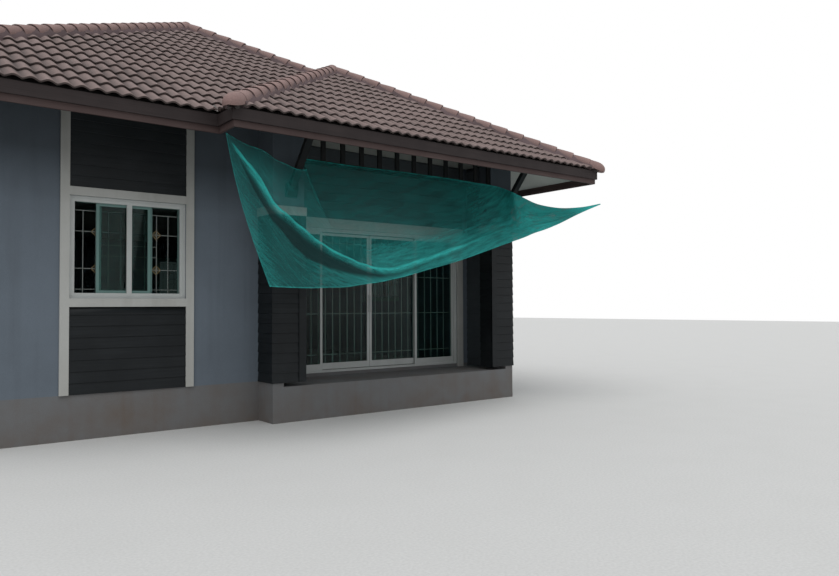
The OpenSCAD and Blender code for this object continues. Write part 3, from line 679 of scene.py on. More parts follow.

# %% [markdown]
# ## Tile finish
# The tiles are painted concrete in a brown mauve. Each tile reads its own tone,
# so courses look laid and not printed. Pans are darker than rolls, because dust
# and algae stay where the water runs. Each tile also darkens towards its head,
# partly dirt and partly painted shadow under the nose of the course above, and
# the front of every nose is painted nearly black as painted shade of the step.


# %% Tile material
def tile_material(name, colour, dark, pale):
    material, make, shader = new_material(name, shine=0.3)
    place = make.place()
    tone, roll, up = make.stored("tone", "on_roll", "up_tile")
    # Dirt in the pans, and towards the head of each tile partly dirt and partly painted shadow under
    # the next course.
    grime_and_shade = make.plus(make.times(make.minus(1.0, roll), 0.60), make.times(up, 0.30))
    grime_and_shade = make.times(grime_and_shade, make.times(make.noise(place, 1.1, 7.0), 2.0), clamp=True)
    toned = make.mix(make.times(tone, 0.45), colour, pale)
    toned = make.mix(grime_and_shade, toned, dark)
    # The front face of every nose is painted nearly black: painted shade of the step under each
    # course.
    toned = make.mix(make.remap(up, 0.014, 0.004, 0.0, 0.75), toned, (0.020, 0.016, 0.015))
    speck = make.noise(place, 60.0, 4.0)
    make.fill(shader, {
        "Base Color": make.scaled(toned, make.remap(speck, 0.35, 0.7, 0.88, 1.1)),
        "Roughness": 0.72, "Normal": make.bump(speck, 0.0012)})
    return material


roof_tile = tile_material(
    "roof_tile", (0.228, 0.166, 0.154), (0.062, 0.048, 0.046), (0.297, 0.224, 0.212))
cap_tile = tile_material(
    "cap_tile", (0.262, 0.166, 0.152), (0.11, 0.078, 0.074), (0.320, 0.214, 0.200))
underlay = painted("roof_underlay", (0.05, 0.045, 0.045), patches=0.2, streaks=0.0, roughness=0.9)
mortar = painted(
    "cap_mortar", (0.150, 0.108, 0.112), dirt=(0.06, 0.05, 0.05), patches=0.6, streaks=0.0,
    grain=0.006, depth=0.003, roughness=0.9, shine=0.2)

# %% [markdown]
# ## Laying and cutting
# The first course starts a little inside the eave, because a tile stands square
# to the slope and so its nose leans out. A bisect along each hip keeps the side
# that belongs to the plane. The cut along the valley stands back a little to
# leave room for the metal tray. Open ends are closed, so tiles stay solid.

# %% Lay the tiles
FIRST_NOSE = 0.018
VALLEY_GAP = 0.030
DECK_HEIGHTS = (-0.084, -0.054)
DECK_IN = 0.050
# Where the first column starts on each plane, from its left corner
FIRST_COLUMN = {"front": -0.085, "wing_front": -0.110}


def cuts_of(outline, corner, along):
    """The planes that cut a piece to its outline in plan. The eave edge is left alone."""
    cuts = []
    for a, b in zip(outline, outline[1:] + outline[:1]):
        run = (b - a).normalized()
        outward = Vector((run.y, -run.x))
        on_eave = abs((a - corner).dot(outward)) < 1e-4 and abs(run.dot(along)) > 0.999
        if not on_eave:
            in_valley = {tuple(a), tuple(b)} == {tuple(valley_foot), tuple(wing_end)}
            place = a - outward * (VALLEY_GAP if in_valley else 0.0)
            cuts.append(((place.x, place.y, 0), (outward.x, outward.y, 0)))
    return cuts


def lay_plane(name, outlines, seed):
    """The tiles of one roof plane, over a thin dark deck."""
    corner = outlines[0][0]
    along = (outlines[0][1] - corner).normalized()
    place = plane_frame(corner, along)
    parts = []
    for outline in outlines:
        inside = [place.inverted() @ Vector((p.x, p.y, eave_z)) for p in outline]
        flat = [(p[0], p[1] / math.cos(SLOPE) ** 2) for p in inside]
        tiles = grow("tiles", lay_tiles, {
            "Tile": one_tile, "Finish": roof_tile, "Seed": seed,
            "Columns": math.ceil(max(u for u, v in flat) / TILE_WIDTH) + 1,
            "Courses": math.ceil(max(v for u, v in flat) / TILE_GAUGE) + 1})
        start = FIRST_COLUMN.get(name, -TILE_WIDTH / 2)
        tiles.data.transform(place @ Matrix.Translation((start, FIRST_NOSE, 0)))
        saw(tiles, cuts_of(outline, corner, along))
        deck = new_piece(
            "deck", skin([[(u, max(v, DECK_IN), z) for u, v in flat] for z in DECK_HEIGHTS]), underlay)
        deck.data.transform(place)
        parts += [tiles, deck]
    piece = join("tiles_" + name, parts)
    soften(piece, 35)
    finish_piece(piece, replaces=["roof_" + name])


for seed, (name, outlines) in enumerate(PLANES.items(), start=11):
    lay_plane(name, outlines, seed)
bpy.data.objects.remove(one_tile)

# %% [markdown]
# ## Hip and ridge caps
# A cap is a half-round tile 300 mm long, laid in mortar from the eave up, so
# each one covers the head of the cap below. It tapers towards its upper end,
# which gives the hips their beaded line. Its profile is swept over an arc.

# %% Cap mesh
CAP_STEP = 0.270
CAP_LENGTH = 0.300
CAP_RADIUS = 0.102
CAP_ARC = math.radians(102)
CAP_STEPS = 14


def half_round(profile):
    """A (length, radius) profile swept over an arc whose crown is at -y."""
    angles = [CAP_ARC * (2 * i / CAP_STEPS - 1) for i in range(CAP_STEPS + 1)]
    return skin([[(r * math.sin(t), -r * math.cos(t), z) for z, r in profile] for t in angles])


def make_cap():
    profile = [(z, CAP_RADIUS + thick) for z, thick in (
        (0.0, 0.005), (0.006, 0.010), (0.060, 0.008), (0.150, 0.003), (CAP_LENGTH, -0.009),
        (CAP_LENGTH, -0.021), (0.050, -0.008), (0.0, -0.004))]
    cap = point_outwards(new_piece("one_cap", half_round(profile)))
    store(cap, "on_roll", [min(1.0, max(0.0, 0.4 - v.co.y * 7)) for v in cap.data.vertices])
    store(cap, "up_tile", [v.co.z / CAP_LENGTH for v in cap.data.vertices])
    return cap


one_cap = make_cap()

# %% [markdown]
# ## Caps along a line
# A tree sets one cap on each point of a curve, so one mesh serves every hip and
# ridge. Set Curve Normal keeps the curve's own frame upright, so that each cap's
# y axis points down. A random turn and tone make the caps differ.


# %% Cap laying tree
def make_cap_tree():
    make, start, end = new_tree("lay_caps", "Geometry", {
        "Cap": "Object", "Lines": "Object", "Step": CAP_STEP, "Unevenness": 0.012, "Seed": 1,
        "Finish": "Material"}, GEOMETRY)
    lines = make.node("GeometryNodeObjectInfo", {"Object": start["Lines"]}).outputs["Geometry"]
    curve = make.first("GeometryNodeMeshToCurve", {0: lines})
    upright = make.first("GeometryNodeSetCurveNormal", {0: curve}, mode="Z_UP")
    points = make.node("GeometryNodeCurveToPoints", {
        "Curve": upright, "Length": start["Step"]}, mode="LENGTH").outputs
    laid = copies(make, points["Points"], start["Cap"], Rotation=points["Rotation"])
    turned = make.first("GeometryNodeRotateInstances", {
        "Instances": laid, "Rotation": random_turn(make, start)})
    toned = random_tone(make, turned, make.plus(start["Seed"], 5.0))
    return end_tree(make, end, toned, start["Finish"])


lay_caps = make_cap_tree()

# %% [markdown]
# ## Beds, starters and peaks
# The tree needs one edge for each hip and ridge. What is different at every
# place is made by hand: the wavy bed of mortar under a line of caps, the closed
# cap at the foot of a hip, and a round cover where lines meet. A hip falls away
# at both sides less steeply than its planes do, by the cosine of 45 degrees.


# %% Hips and ridges
def on_roof(plan, z):
    return Vector((plan.x, plan.y, z))


peak_front, peak_back = on_roof(ridge_front, ridge_z), on_roof(ridge_back, ridge_z)
wing_peak, wing_join = on_roof(wing_top, wing_ridge_z), on_roof(wing_end, wing_ridge_z)
HIPS = [
    (on_roof(corner_front_left, eave_z), peak_front),
    (on_roof(corner_back_left, eave_z), peak_back),
    (on_roof(corner_back_right, eave_z), peak_back),
    (on_roof(wing_corner_left, eave_z), wing_peak),
    (on_roof(wing_corner_right, eave_z), wing_peak),
    (wing_join, peak_front),
]
RIDGES = [(peak_back, peak_front), (wing_join, wing_peak)]
RIDGE_FALL = math.tan(SLOPE)
HIP_FALL = RIDGE_FALL * math.cos(math.pi / 4)
CAP_AXIS = Vector((0, 0, -0.012))
STARTER_LENGTH = 0.22
# Where a starter begins, along the hip from the corner of the tiles: out over it on the wing, and
# behind it on the body, where it would stand out past the eaves
WING_FOOT = -0.055
BODY_FOOT = 0.057
BED_HALF, BED_RAGGED, BED_STEP = 0.119, 0.022, 0.075


def from_eave(line):
    """Whether a line of caps begins at an eave."""
    return abs(line[0].z - eave_z) < 0.01


def cap_lines():
    """One edge for each hip and ridge, from its first cap to the last one."""
    points = []
    for line in HIPS + RIDGES:
        low, high = line
        along = (high - low).normalized()
        first = low + along * (STARTER_LENGTH if from_eave(line) else 0.03)
        last = high - along * (CAP_LENGTH - 0.02)
        if (last - first).dot(along) < 0.02:
            last = first + along * 0.02
        points += [first + CAP_AXIS, last + CAP_AXIS]
    edges = [(i, i + 1) for i in range(0, len(points), 2)]
    return new_piece("cap_lines", (points, []), edges=edges)


print(len(HIPS), "hips and", len(RIDGES), "ridges")


# %% Mortar beds, starters and covers
def cross_frame(low, high):
    """A matrix with z along a cap line, x level across it and y down, at its lower end."""
    along = (high - low).normalized()
    side = along.cross(Vector((0, 0, 1))).normalized()
    return axes(side, along.cross(side), along, low)


def mortar_bed(line, slope_across, seed):
    """The wavy bed of mortar under the caps of one line."""
    length = (line[1] - line[0]).length
    steps = max(2, int(length / BED_STEP))
    first = 0.16 if from_eave(line) else 0.02
    rows = []
    for i in range(steps + 1):
        z = first + (length - first - 0.01) * i / steps
        row = []
        for side in (-1, 1):
            x = BED_HALF + BED_RAGGED * noise.noise(Vector((i * 0.9, seed * 7.3, side * 3.1)))
            fall = x * slope_across
            foot = (side * (x + 0.010), fall + 0.030, z)
            outer = (side * x, fall - 0.026, z)
            inner = (side * 0.080, -0.040, z)
            row += [foot, outer, inner] if side < 0 else [inner, outer, foot]
        rows.append(row)
    bed = new_piece("bed", skin(rows), mortar)
    bed.data.transform(cross_frame(*line))
    return point_outwards(bed)


def cap_piece(piece, tone):
    """Gives a piece made by hand the finish of the caps and the numbers that it reads."""
    for name, amount in (("tone", tone), ("on_roll", 0.8), ("up_tile", 0.2)):
        store(piece, name, [amount] * len(piece.data.vertices))
    piece.data.materials.append(cap_tile)
    return piece


def starter(line, foot):
    """The closed, rounded cap at the foot of a hip, from a distance foot along it."""
    radius, nose, steps = CAP_RADIUS + 0.010, 0.150, 8
    profile = [(foot, 0.0)]
    for k in range(1, steps + 1):
        angle = math.pi / 2 * k / steps
        profile.append((foot + nose * (1 - math.cos(angle)), radius * math.sin(angle) ** 0.85))
    profile += [
        (STARTER_LENGTH + 0.02, radius - 0.006), (STARTER_LENGTH + 0.03, radius - 0.026),
        (STARTER_LENGTH + 0.03, 0.0)]
    cap = new_piece("starter", half_round(profile))
    cap.data.transform(cross_frame(line[0] + CAP_AXIS, line[1] + CAP_AXIS))
    return cap_piece(cap, 0.4)


def dome(place, radius=0.117, rings=6, around=20):
    """A round cover where several lines of caps meet."""
    tilts = [math.radians(100) * i / rings for i in range(rings + 1)]
    turns = [2 * math.pi * k / around for k in range(around)]
    rows = [[
        Vector((math.sin(tilt) * math.cos(turn), math.sin(tilt) * math.sin(turn), math.cos(tilt)))
        * radius for turn in turns] for tilt in tilts]
    cover = point_outwards(new_piece("dome", skin(rows)), merge=1e-5)
    cover.data.transform(Matrix.Translation(place))
    return cap_piece(cover, 0.5)


# %% All caps as one piece
lines = cap_lines()
cap_parts = [grow("caps", lay_caps, {"Cap": one_cap, "Lines": lines, "Seed": 3, "Finish": cap_tile})]
for number, line in enumerate(HIPS):
    cap_parts.append(mortar_bed(line, HIP_FALL, number))
    if from_eave(line):
        cap_parts.append(starter(line, WING_FOOT if line[1] == wing_peak else BODY_FOOT))
for number, line in enumerate(RIDGES, start=20):
    cap_parts.append(mortar_bed(line, RIDGE_FALL, number))
for peak in (peak_front, peak_back, wing_peak, wing_join):
    cap_parts.append(dome(peak - Vector((0, 0, 0.015))))
hip_caps = join("caps_and_mortar", cap_parts)
soften(hip_caps, 35)
finish_piece(hip_caps, replaces=["hip_caps"])
bpy.data.objects.remove(one_cap)
bpy.data.objects.remove(lines)

# %% [markdown]
# ## Valley tray
# Where the two roofs meet, a folded metal sheet carries the water. It lies
# under the tiles on both sides and shows as a dark line between the cut edges.

# %% Valley tray
TRAY_HALF = 0.13
TRAY_DROP = Vector((0, 0, -0.012))
TRAY_THICK = Vector((0, 0, 0.002))
zinc = painted("valley_zinc", (0.085, 0.080, 0.078), patches=0.4, streaks=0.0, grain=0.01,
               depth=0.0002, metallic=0.4)
valley_low = on_roof(valley_foot, eave_z) + TRAY_DROP
valley_high = wing_join + TRAY_DROP
across = Vector((-1, 1, 0)).normalized() * TRAY_HALF
rise = Vector((0, 0, TRAY_HALF * HIP_FALL))
tray_rows = []
for end in (valley_low + (valley_high - valley_low).normalized() * 0.06, valley_high):
    top = [end + across * side + rise * abs(side) for side in (-1, 0, 1)]
    tray_rows.append(top + [p - TRAY_THICK for p in reversed(top)])
tray = point_outwards(new_piece("valley_tray", skin(tray_rows), zinc))
finish_piece(tray)

# %% [markdown]
# ## Lapped boards
# The dark panels over and under the windows, over the door, and round the piers
# are cement boards that overlap like shingles: each shows 125 mm and leans out
# over the next one down. One board is a wedge in section, 1 m long. A tree sets
# copies of it in a row, each stretched to the panel's width, and the row is cut
# level at the top. The window bars further down come from the same tree.

# %% Rows of copies
BOARD_SHOWS = 0.125
BOARD_HIGH = 0.140
BOARD_FOOT = 0.016
BOARD_HEAD = 0.004


def make_row_tree():
    make, start, end = new_tree("row_of_copies", "Geometry", {
        "Original": "Object", "Count": 5, "Step": "Vector", "Size": "Vector",
        "Finish": "Material"}, GEOMETRY)
    places = make.first("GeometryNodeMeshLine", {
        "Count": start["Count"], "Offset": start["Step"]}, mode="OFFSET")
    copied = copies(make, places, start["Original"], Scale=start["Size"])
    return end_tree(make, end, copied, start["Finish"])


def make_board():
    """One board, with its back at y = 0 and its lower edge at z = 0."""
    section = [
        (0.0, 0.0), (-BOARD_FOOT + 0.002, 0.0), (-BOARD_FOOT, 0.002),
        (-BOARD_FOOT * 0.98, 0.010), (-BOARD_HEAD, BOARD_HIGH), (0.0, BOARD_HIGH)]
    rows = [[(x, y, z) for y, z in section] for x in (0.0, 1.0)]
    return point_outwards(new_piece("one_board", skin(rows), smooth_angle=20))


row_of_copies = make_row_tree()
one_board = make_board()


def board_panel(left, right, low_z, high_z, finish=dark_boards):
    """Lapped boards from plan point left to plan point right, as seen from outside."""
    run = Vector(right) - Vector(left)
    panel = grow("panel", row_of_copies, {
        "Original": one_board, "Count": math.ceil((high_z - low_z) / BOARD_SHOWS),
        "Step": (0.0, 0.0, BOARD_SHOWS), "Size": (run.length, 1.0, 1.0), "Finish": finish})
    panel.data.transform(on_wall(run.normalized(), left, low_z))
    saw(panel, [((0, 0, high_z), (0, 0, 1))])
    return panel


# %% [markdown]
# ## Where the boards go
# Most lengths below come from the boxes of CAD nodes, so that a panel ends where
# the trim, the band or the ceiling begins. One node holds all windows, so the
# sizes and places of a single window are given as numbers.

# %% Panels at the windows and in the terrace
pier_low, pier_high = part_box("pier_left")
pier_wide = pier_high.x - pier_low.x
back_of_pier = pier_high.y
wing_wall_y = wall_low.y
body_front_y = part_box("wall_front")[0].y
floor_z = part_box("floor_slab")[1].z
trim_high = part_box("window_trims")[1].z
WINDOW_W, SILL_Z, HEAD_Z, TRIM_W = 1.290, 1.560, 2.700, 0.095
FRONT_WINDOW = wall_low.x + 1.844

# Every window: where its middle is in plan, and the direction along its wall from left to right
WINDOWS = [(Vector(middle), Vector(along)) for middle, along in (
    ((FRONT_WINDOW, body_front_y), (1, 0)),
    ((wall_low.x, body_front_y + 1.845), (0, -1)),
    ((wall_low.x, wall_high.y - 2.300), (0, -1)),
    ((wall_high.x, body_front_y + 3.100), (0, 1)),
    ((wall_high.x, wall_high.y - 2.300), (0, 1)),
    ((FRONT_WINDOW, wall_high.y), (-1, 0)),
    ((-FRONT_WINDOW, wall_high.y), (-1, 0)),
)]
panels = []
for middle, along in WINDOWS:
    half = along * WINDOW_W / 2
    for low_z, high_z in ((floor_z, SILL_Z - TRIM_W), (HEAD_Z + TRIM_W, trim_high - 0.012)):
        panels.append(board_panel(middle - half, middle + half, low_z, high_z))
trim_low, trim_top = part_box("door_trim")
ceiling_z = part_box("terrace_ceiling")[0].z
door_face_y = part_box("door_wall_top")[0].y
bay_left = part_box("terrace_wall_left")[1].x
bay_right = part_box("terrace_wall_right")[0].x
for left, right, low_z in (
    ((trim_low.x, door_face_y), (trim_top.x, door_face_y), trim_top.z),
    ((bay_left, back_of_pier), (bay_left, door_face_y), trim_low.z),
    ((bay_right, door_face_y), (bay_right, back_of_pier), trim_low.z),
):
    panels.append(board_panel(left, right, low_z, ceiling_z, terrace_boards))
finish_piece(join("lapped_panels", panels), replaces=["board_panels"])

# %% Pier boards
CLAD = 0.016
STRIP_W, STRIP_OUT = 0.100, 0.024
band_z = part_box("pier_bands")[0].z
right_pier_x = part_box("pier_right")[0].x
claddings = []
# Each pier: its left face, how far back its left and right sides run, and where its strip begins
for pier_x, left_y, right_y, strip_x in (
    (pier_low.x, body_front_y, back_of_pier, pier_high.x + CLAD - STRIP_W),
    (right_pier_x, back_of_pier, body_front_y, right_pier_x - CLAD),
):
    far_x = pier_x + pier_wide
    for left, right in (
        ((pier_x - CLAD, wing_wall_y), (far_x + CLAD, wing_wall_y)),
        ((pier_x, left_y), (pier_x, wing_wall_y)),
        ((far_x, wing_wall_y), (far_x, right_y)),
    ):
        claddings.append(board_panel(left, right, floor_z, band_z))
    claddings.append(new_piece("strip", box_shape(
        (strip_x, wing_wall_y - STRIP_OUT, floor_z), (strip_x + STRIP_W, wing_wall_y, band_z)),
        dark_boards))
finish_piece(join("pier_boards", claddings), replaces=["pier_cladding"])
bpy.data.objects.remove(one_board)

# %% [markdown]
# ## Window bars
# Thai town houses have welded steel bars inside every window: flat uprights,
# level bars that tie them, and squares turned on their corner where two bars
# cross. The tree for rows repeats the uprights, as a cube that is stretched to a
# bar, and short loops add the rest, since each of those has its own length.

# %% Bars
BAR = 0.0070
BAR_PAINT = painted(
    "bar_paint", (0.22, 0.245, 0.235), dirt=(0.2, 0.2, 0.18), patches=0.2, streaks=0.2,
    grain=0.002, depth=0.0001, roughness=0.5)
BRASS_PAINT = painted(
    "brass_paint", (0.30, 0.22, 0.10), dirt=(0.12, 0.10, 0.07), patches=0.3, streaks=0.0,
    grain=0.002, depth=0.0001, roughness=0.45)


one_bar = new_piece("one_bar", box_shape((-0.5, -0.5, -0.5), (0.5, 0.5, 0.5)))


def bars(first, count, spacing, height, levels, thick=BAR):
    """Uprights, the first with its middle at a point, tied by level bars of (left, right, z)."""
    uprights = grow("uprights", row_of_copies, {
        "Original": one_bar, "Count": count, "Step": (spacing, 0.0, 0.0),
        "Size": (thick, thick, height), "Finish": BAR_PAINT})
    uprights.data.transform(Matrix.Translation(first))
    y, half = first[1], thick / 2
    ties = [box_shape((a, y - half, z - half), (b, y + half, z + half)) for a, b, z in levels]
    return [uprights, new_piece("level_bars", gather(ties), BAR_PAINT)]


def diamond(x, z, half, thick):
    """A square ring that stands on its corner."""
    points, faces = [], []
    for y in (-thick / 2, thick / 2):
        for reach in (half, half - thick * 1.4):
            points += [(x + reach, y, z), (x, y, z + reach), (x - reach, y, z), (x, y, z - reach)]
    for k, n in ((0, 1), (1, 2), (2, 3), (3, 0)):
        faces += [
            (k, 4 + k, 4 + n, n), (8 + k, 8 + n, 12 + n, 12 + k),
            (k, n, 8 + n, 8 + k), (4 + k, 12 + k, 12 + n, 4 + n)]
    return points, faces


# %% Window grilles
GRILLE_IN = 0.137
UPRIGHTS, UPRIGHT_STEP = 8, 0.136
WIDE_BARS = [2.555, 2.320, 1.900, 1.665]
SHORT_BARS = [2.175, 2.050]
INNER_HALF = 0.340
DIAMOND_X, DIAMOND_HALF = 0.336, 0.057
FRAME_IN = 0.060


def window_grille():
    """The bars of one window, in its own plane, with the window's middle at x = 0."""
    first_x = -UPRIGHT_STEP * (UPRIGHTS - 1) / 2
    foot, top = SILL_Z + FRAME_IN, WIDE_BARS[0]
    reach = WINDOW_W / 2 - FRAME_IN
    levels = [(-reach, reach, z) for z in WIDE_BARS]
    levels += [(-INNER_HALF, INNER_HALF, z) for z in SHORT_BARS]
    parts = bars((first_x, 0, (foot + top) / 2), UPRIGHTS, UPRIGHT_STEP, top - foot, levels)
    rings = [
        diamond(x, z, half, thick) for x in (-DIAMOND_X, DIAMOND_X) for z in WIDE_BARS[1:3]
        for half, thick in ((DIAMOND_HALF, 0.007), (DIAMOND_HALF * 0.4, 0.005))]
    parts.append(new_piece("ornaments", gather(rings), BRASS_PAINT))
    return point_outwards(join("grille", parts))


grilles = []
for middle, along in WINDOWS:
    grille = window_grille()
    grille.data.transform(on_wall(along, middle) @ Matrix.Translation((0, GRILLE_IN, 0)))
    grilles.append(grille)
finish_piece(join("window_bars", grilles))

# %% [markdown]
# ## Door bars
# The glazed door has the same bars as the windows. A leaf's bars are screwed to
# its back, so they ride on the leaf, and the bars behind the fixed panels stay
# with the house, one step deeper, where the leaves can pass in front of them.

# %% Door grilles
DOOR_STEP = 0.135
DOOR_BAR = 0.010
DOOR_LEVELS = [0.75, 1.35, 1.925, 2.40]
FIXED_WIDTH = 0.805
LEAF_BARS_IN, FIXED_BARS_IN = 0.006, 0.028


def panel_grille(name, low, high, y, body):
    """Bars over one door panel, between its stiles."""
    width = high.x - low.x
    count = max(2, round(width / DOOR_STEP) - 1)
    step = width / (count + 1)
    first = (low.x + step, y, (low.z + high.z) / 2 + 0.025)
    levels = [(low.x + 0.012, high.x - 0.012, z) for z in DOOR_LEVELS]
    parts = bars(first, count, step, high.z - low.z - 0.10, levels, DOOR_BAR)
    finish_piece(point_outwards(join(name, parts)), body=body)


leaf_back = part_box("door_leaf_left")[1].y
panel_low, panel_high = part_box("fixed_panels")
left_end = Vector((panel_low.x + FIXED_WIDTH, panel_high.y, panel_high.z))
right_start = Vector((panel_high.x - FIXED_WIDTH, panel_low.y, panel_low.z))
panel_grille("leaf_bars_left", *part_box("door_leaf_left"), leaf_back + LEAF_BARS_IN, "door_left")
panel_grille("leaf_bars_right", *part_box("door_leaf_right"), leaf_back + LEAF_BARS_IN, "door_right")
panel_grille("fixed_bars_left", panel_low, left_end, leaf_back + FIXED_BARS_IN, "house")
panel_grille("fixed_bars_right", right_start, panel_high, leaf_back + FIXED_BARS_IN, "house")
bpy.data.objects.remove(one_bar)

# %% [markdown]
# ## Shade net
# A knitted net of green plastic yarn is tied along the porch beam and to the
# wing's left eave, and its lower edge hangs free. Cloth that hangs between two
# lines takes the shape of a curved sheet, so it is drawn as one: two smooth
# edge lines with a belly between them. A place on it is given by s, along the
# net, and f, down from the tied edge. The edge lines are those of the CAD
# solid, raised a little where the net covers the beam.

# %% Net shape
beam_low, beam_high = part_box("porch_beam")
NET_TIE = Vector(((beam_low.x + beam_high.x) / 2, wing_wall_y, 3.320))
NET_TOP = [
    (-3.022, -0.728, 0.040), (-2.770, -0.628, -0.022), (-2.502, -0.578, -0.065),
    (-2.312, -0.478, -0.120), (-2.122, -0.398, -0.145), (-1.937, -0.328, -0.170),
    (-1.802, -0.318, -0.155), (-1.762, -0.108, -0.030), (-1.682, -0.028, 0.040),
    (-1.072, -0.023, 0.036), (-0.322, -0.023, 0.045), (0.448, -0.023, 0.050),
    (1.278, -0.023, 0.040), (1.758, -0.078, 0.010), (1.823, -0.328, -0.105),
    (1.948, -0.333, -0.140), (2.378, -0.338, -0.240), (2.878, -0.353, -0.260),
    (3.378, -0.373, -0.210), (3.873, -0.398, -0.110)]
NET_LOW = [
    (-3.012, -1.778, -1.670), (-2.752, -1.718, -1.675), (-2.482, -1.658, -1.675),
    (-2.242, -1.588, -1.665), (-1.992, -1.528, -1.655), (-1.722, -1.468, -1.620),
    (-1.472, -1.418, -1.590), (-1.272, -1.368, -1.555), (-1.022, -1.308, -1.510),
    (-0.562, -1.218, -1.405), (-0.052, -1.128, -1.290), (0.478, -1.038, -1.145),
    (1.038, -0.938, -0.990), (1.478, -0.868, -0.870), (1.758, -0.808, -0.785),
    (2.078, -0.758, -0.700), (2.478, -0.678, -0.580), (2.978, -0.588, -0.405),
    (3.428, -0.498, -0.260), (3.878, -0.403, -0.125)]
NET_BELLY, NET_BOW = 0.260, 0.050
NET_ACROSS, NET_DOWN = 320, 100


def between(points, t):
    """A point on the smooth line through a list of points, t from 0 to 1."""
    place = t * (len(points) - 1)
    i = min(int(place), len(points) - 2)
    f = place - i
    near = [Vector(points[max(0, min(len(points) - 1, k))]) for k in (i - 1, i, i + 1, i + 2)]
    return 0.5 * (
        2 * near[1] + (near[2] - near[0]) * f
        + (2 * near[0] - 5 * near[1] + 4 * near[2] - near[3]) * f * f
        + (3 * near[1] - near[0] - 3 * near[2] + near[3]) * f ** 3)


def smooth_net(s, f):
    """A point of the net without its folds."""
    down = math.sin(math.pi * f)
    belly = NET_BELLY * math.sin(math.pi * s) * down * (1 - 0.4 * f)
    bow = NET_BOW * (1 - s) ** 6 * down
    sheet = between(NET_TOP, s) * (1 - f) + between(NET_LOW, s) * f
    return NET_TIE + sheet + Vector((-bow, 0.4 * belly, -belly))


# %% [markdown]
# ## Folds of the net
# The load of the cloth runs from the tied corner in one long crease that dips
# and rises again to the far end. Above the crease one layer of net is easy to
# look through. Below it the cloth lies closer and hides more. Three lines of
# (s, f) places hold this: the crease, the lower edge of the open part, and the
# lower edge of the painted shadow under the crease. Each point of the mesh
# stores how dense the net is there and how much painted light it gets: a
# painted highlight along the crease, the hem and the free edge, painted shade
# under the crease and low at the left, and more painted light towards the far
# end. The material reads both.

# %% Fold lines
CREASE = [
    (0.0, 0.0), (0.017, 0.06), (0.053, 0.16), (0.070, 0.24), (0.090, 0.38), (0.110, 0.43),
    (0.137, 0.46), (0.170, 0.50), (0.193, 0.55), (0.227, 0.60), (0.250, 0.66), (0.277, 0.72),
    (0.300, 0.79), (0.330, 0.85), (0.373, 0.90), (0.420, 0.92), (0.453, 0.91), (0.497, 0.88),
    (0.537, 0.85), (0.590, 0.80), (0.650, 0.68), (0.720, 0.55), (0.800, 0.42), (1.0, 0.30)]
OPEN_ABOVE = CREASE[:11] + [
    (0.340, 0.80), (0.380, 0.70), (0.420, 0.61), (0.460, 0.57), (0.493, 0.55), (0.543, 0.50),
    (0.593, 0.46), (0.673, 0.33), (0.777, 0.19), (0.847, 0.0), (1.0, -0.1)]
SHADOW = [
    (0.0, 0.0), (0.030, 0.10), (0.050, 0.30), (0.073, 0.48), (0.090, 0.56), (0.107, 0.66),
    (0.140, 0.73), (0.180, 0.77), (0.230, 0.84), (0.280, 0.90), (0.340, 0.95), (0.420, 0.96),
    (0.520, 0.89), (0.600, 0.80), (1.0, 0.30)]
crease_points = [smooth_net(s, f) for s, f in CREASE]
# The direction in which folds stand out: towards the street and up
FOLD_OUT = Vector((0.1, -0.75, 0.6))


# %% Net with its folds
def line_at(line, s):
    """How far down a line of (s, f) places runs at s."""
    for (s0, f0), (s1, f1) in zip(line, line[1:]):
        if s <= s1:
            return f0 + (f1 - f0) * (s - s0) / (s1 - s0)
    return line[-1][1]


def ramp(value, low, high):
    """0 below low, 1 above high, and smooth in between."""
    t = min(1.0, max(0.0, (value - low) / (high - low)))
    return t * t * (3 - 2 * t)


def to_crease(point):
    """Distance from a point to the crease."""
    least = math.inf
    for a, b in zip(crease_points, crease_points[1:]):
        share = min(1.0, max(0.0, (point - a).dot(b - a) / (b - a).length_squared))
        least = min(least, (point - a - (b - a) * share).length)
    return least


def ripple(s, f, across, down, layer):
    """Smooth unevenness with about so many waves along the net and down it."""
    return noise.noise(Vector((s * across, f * down, layer)))


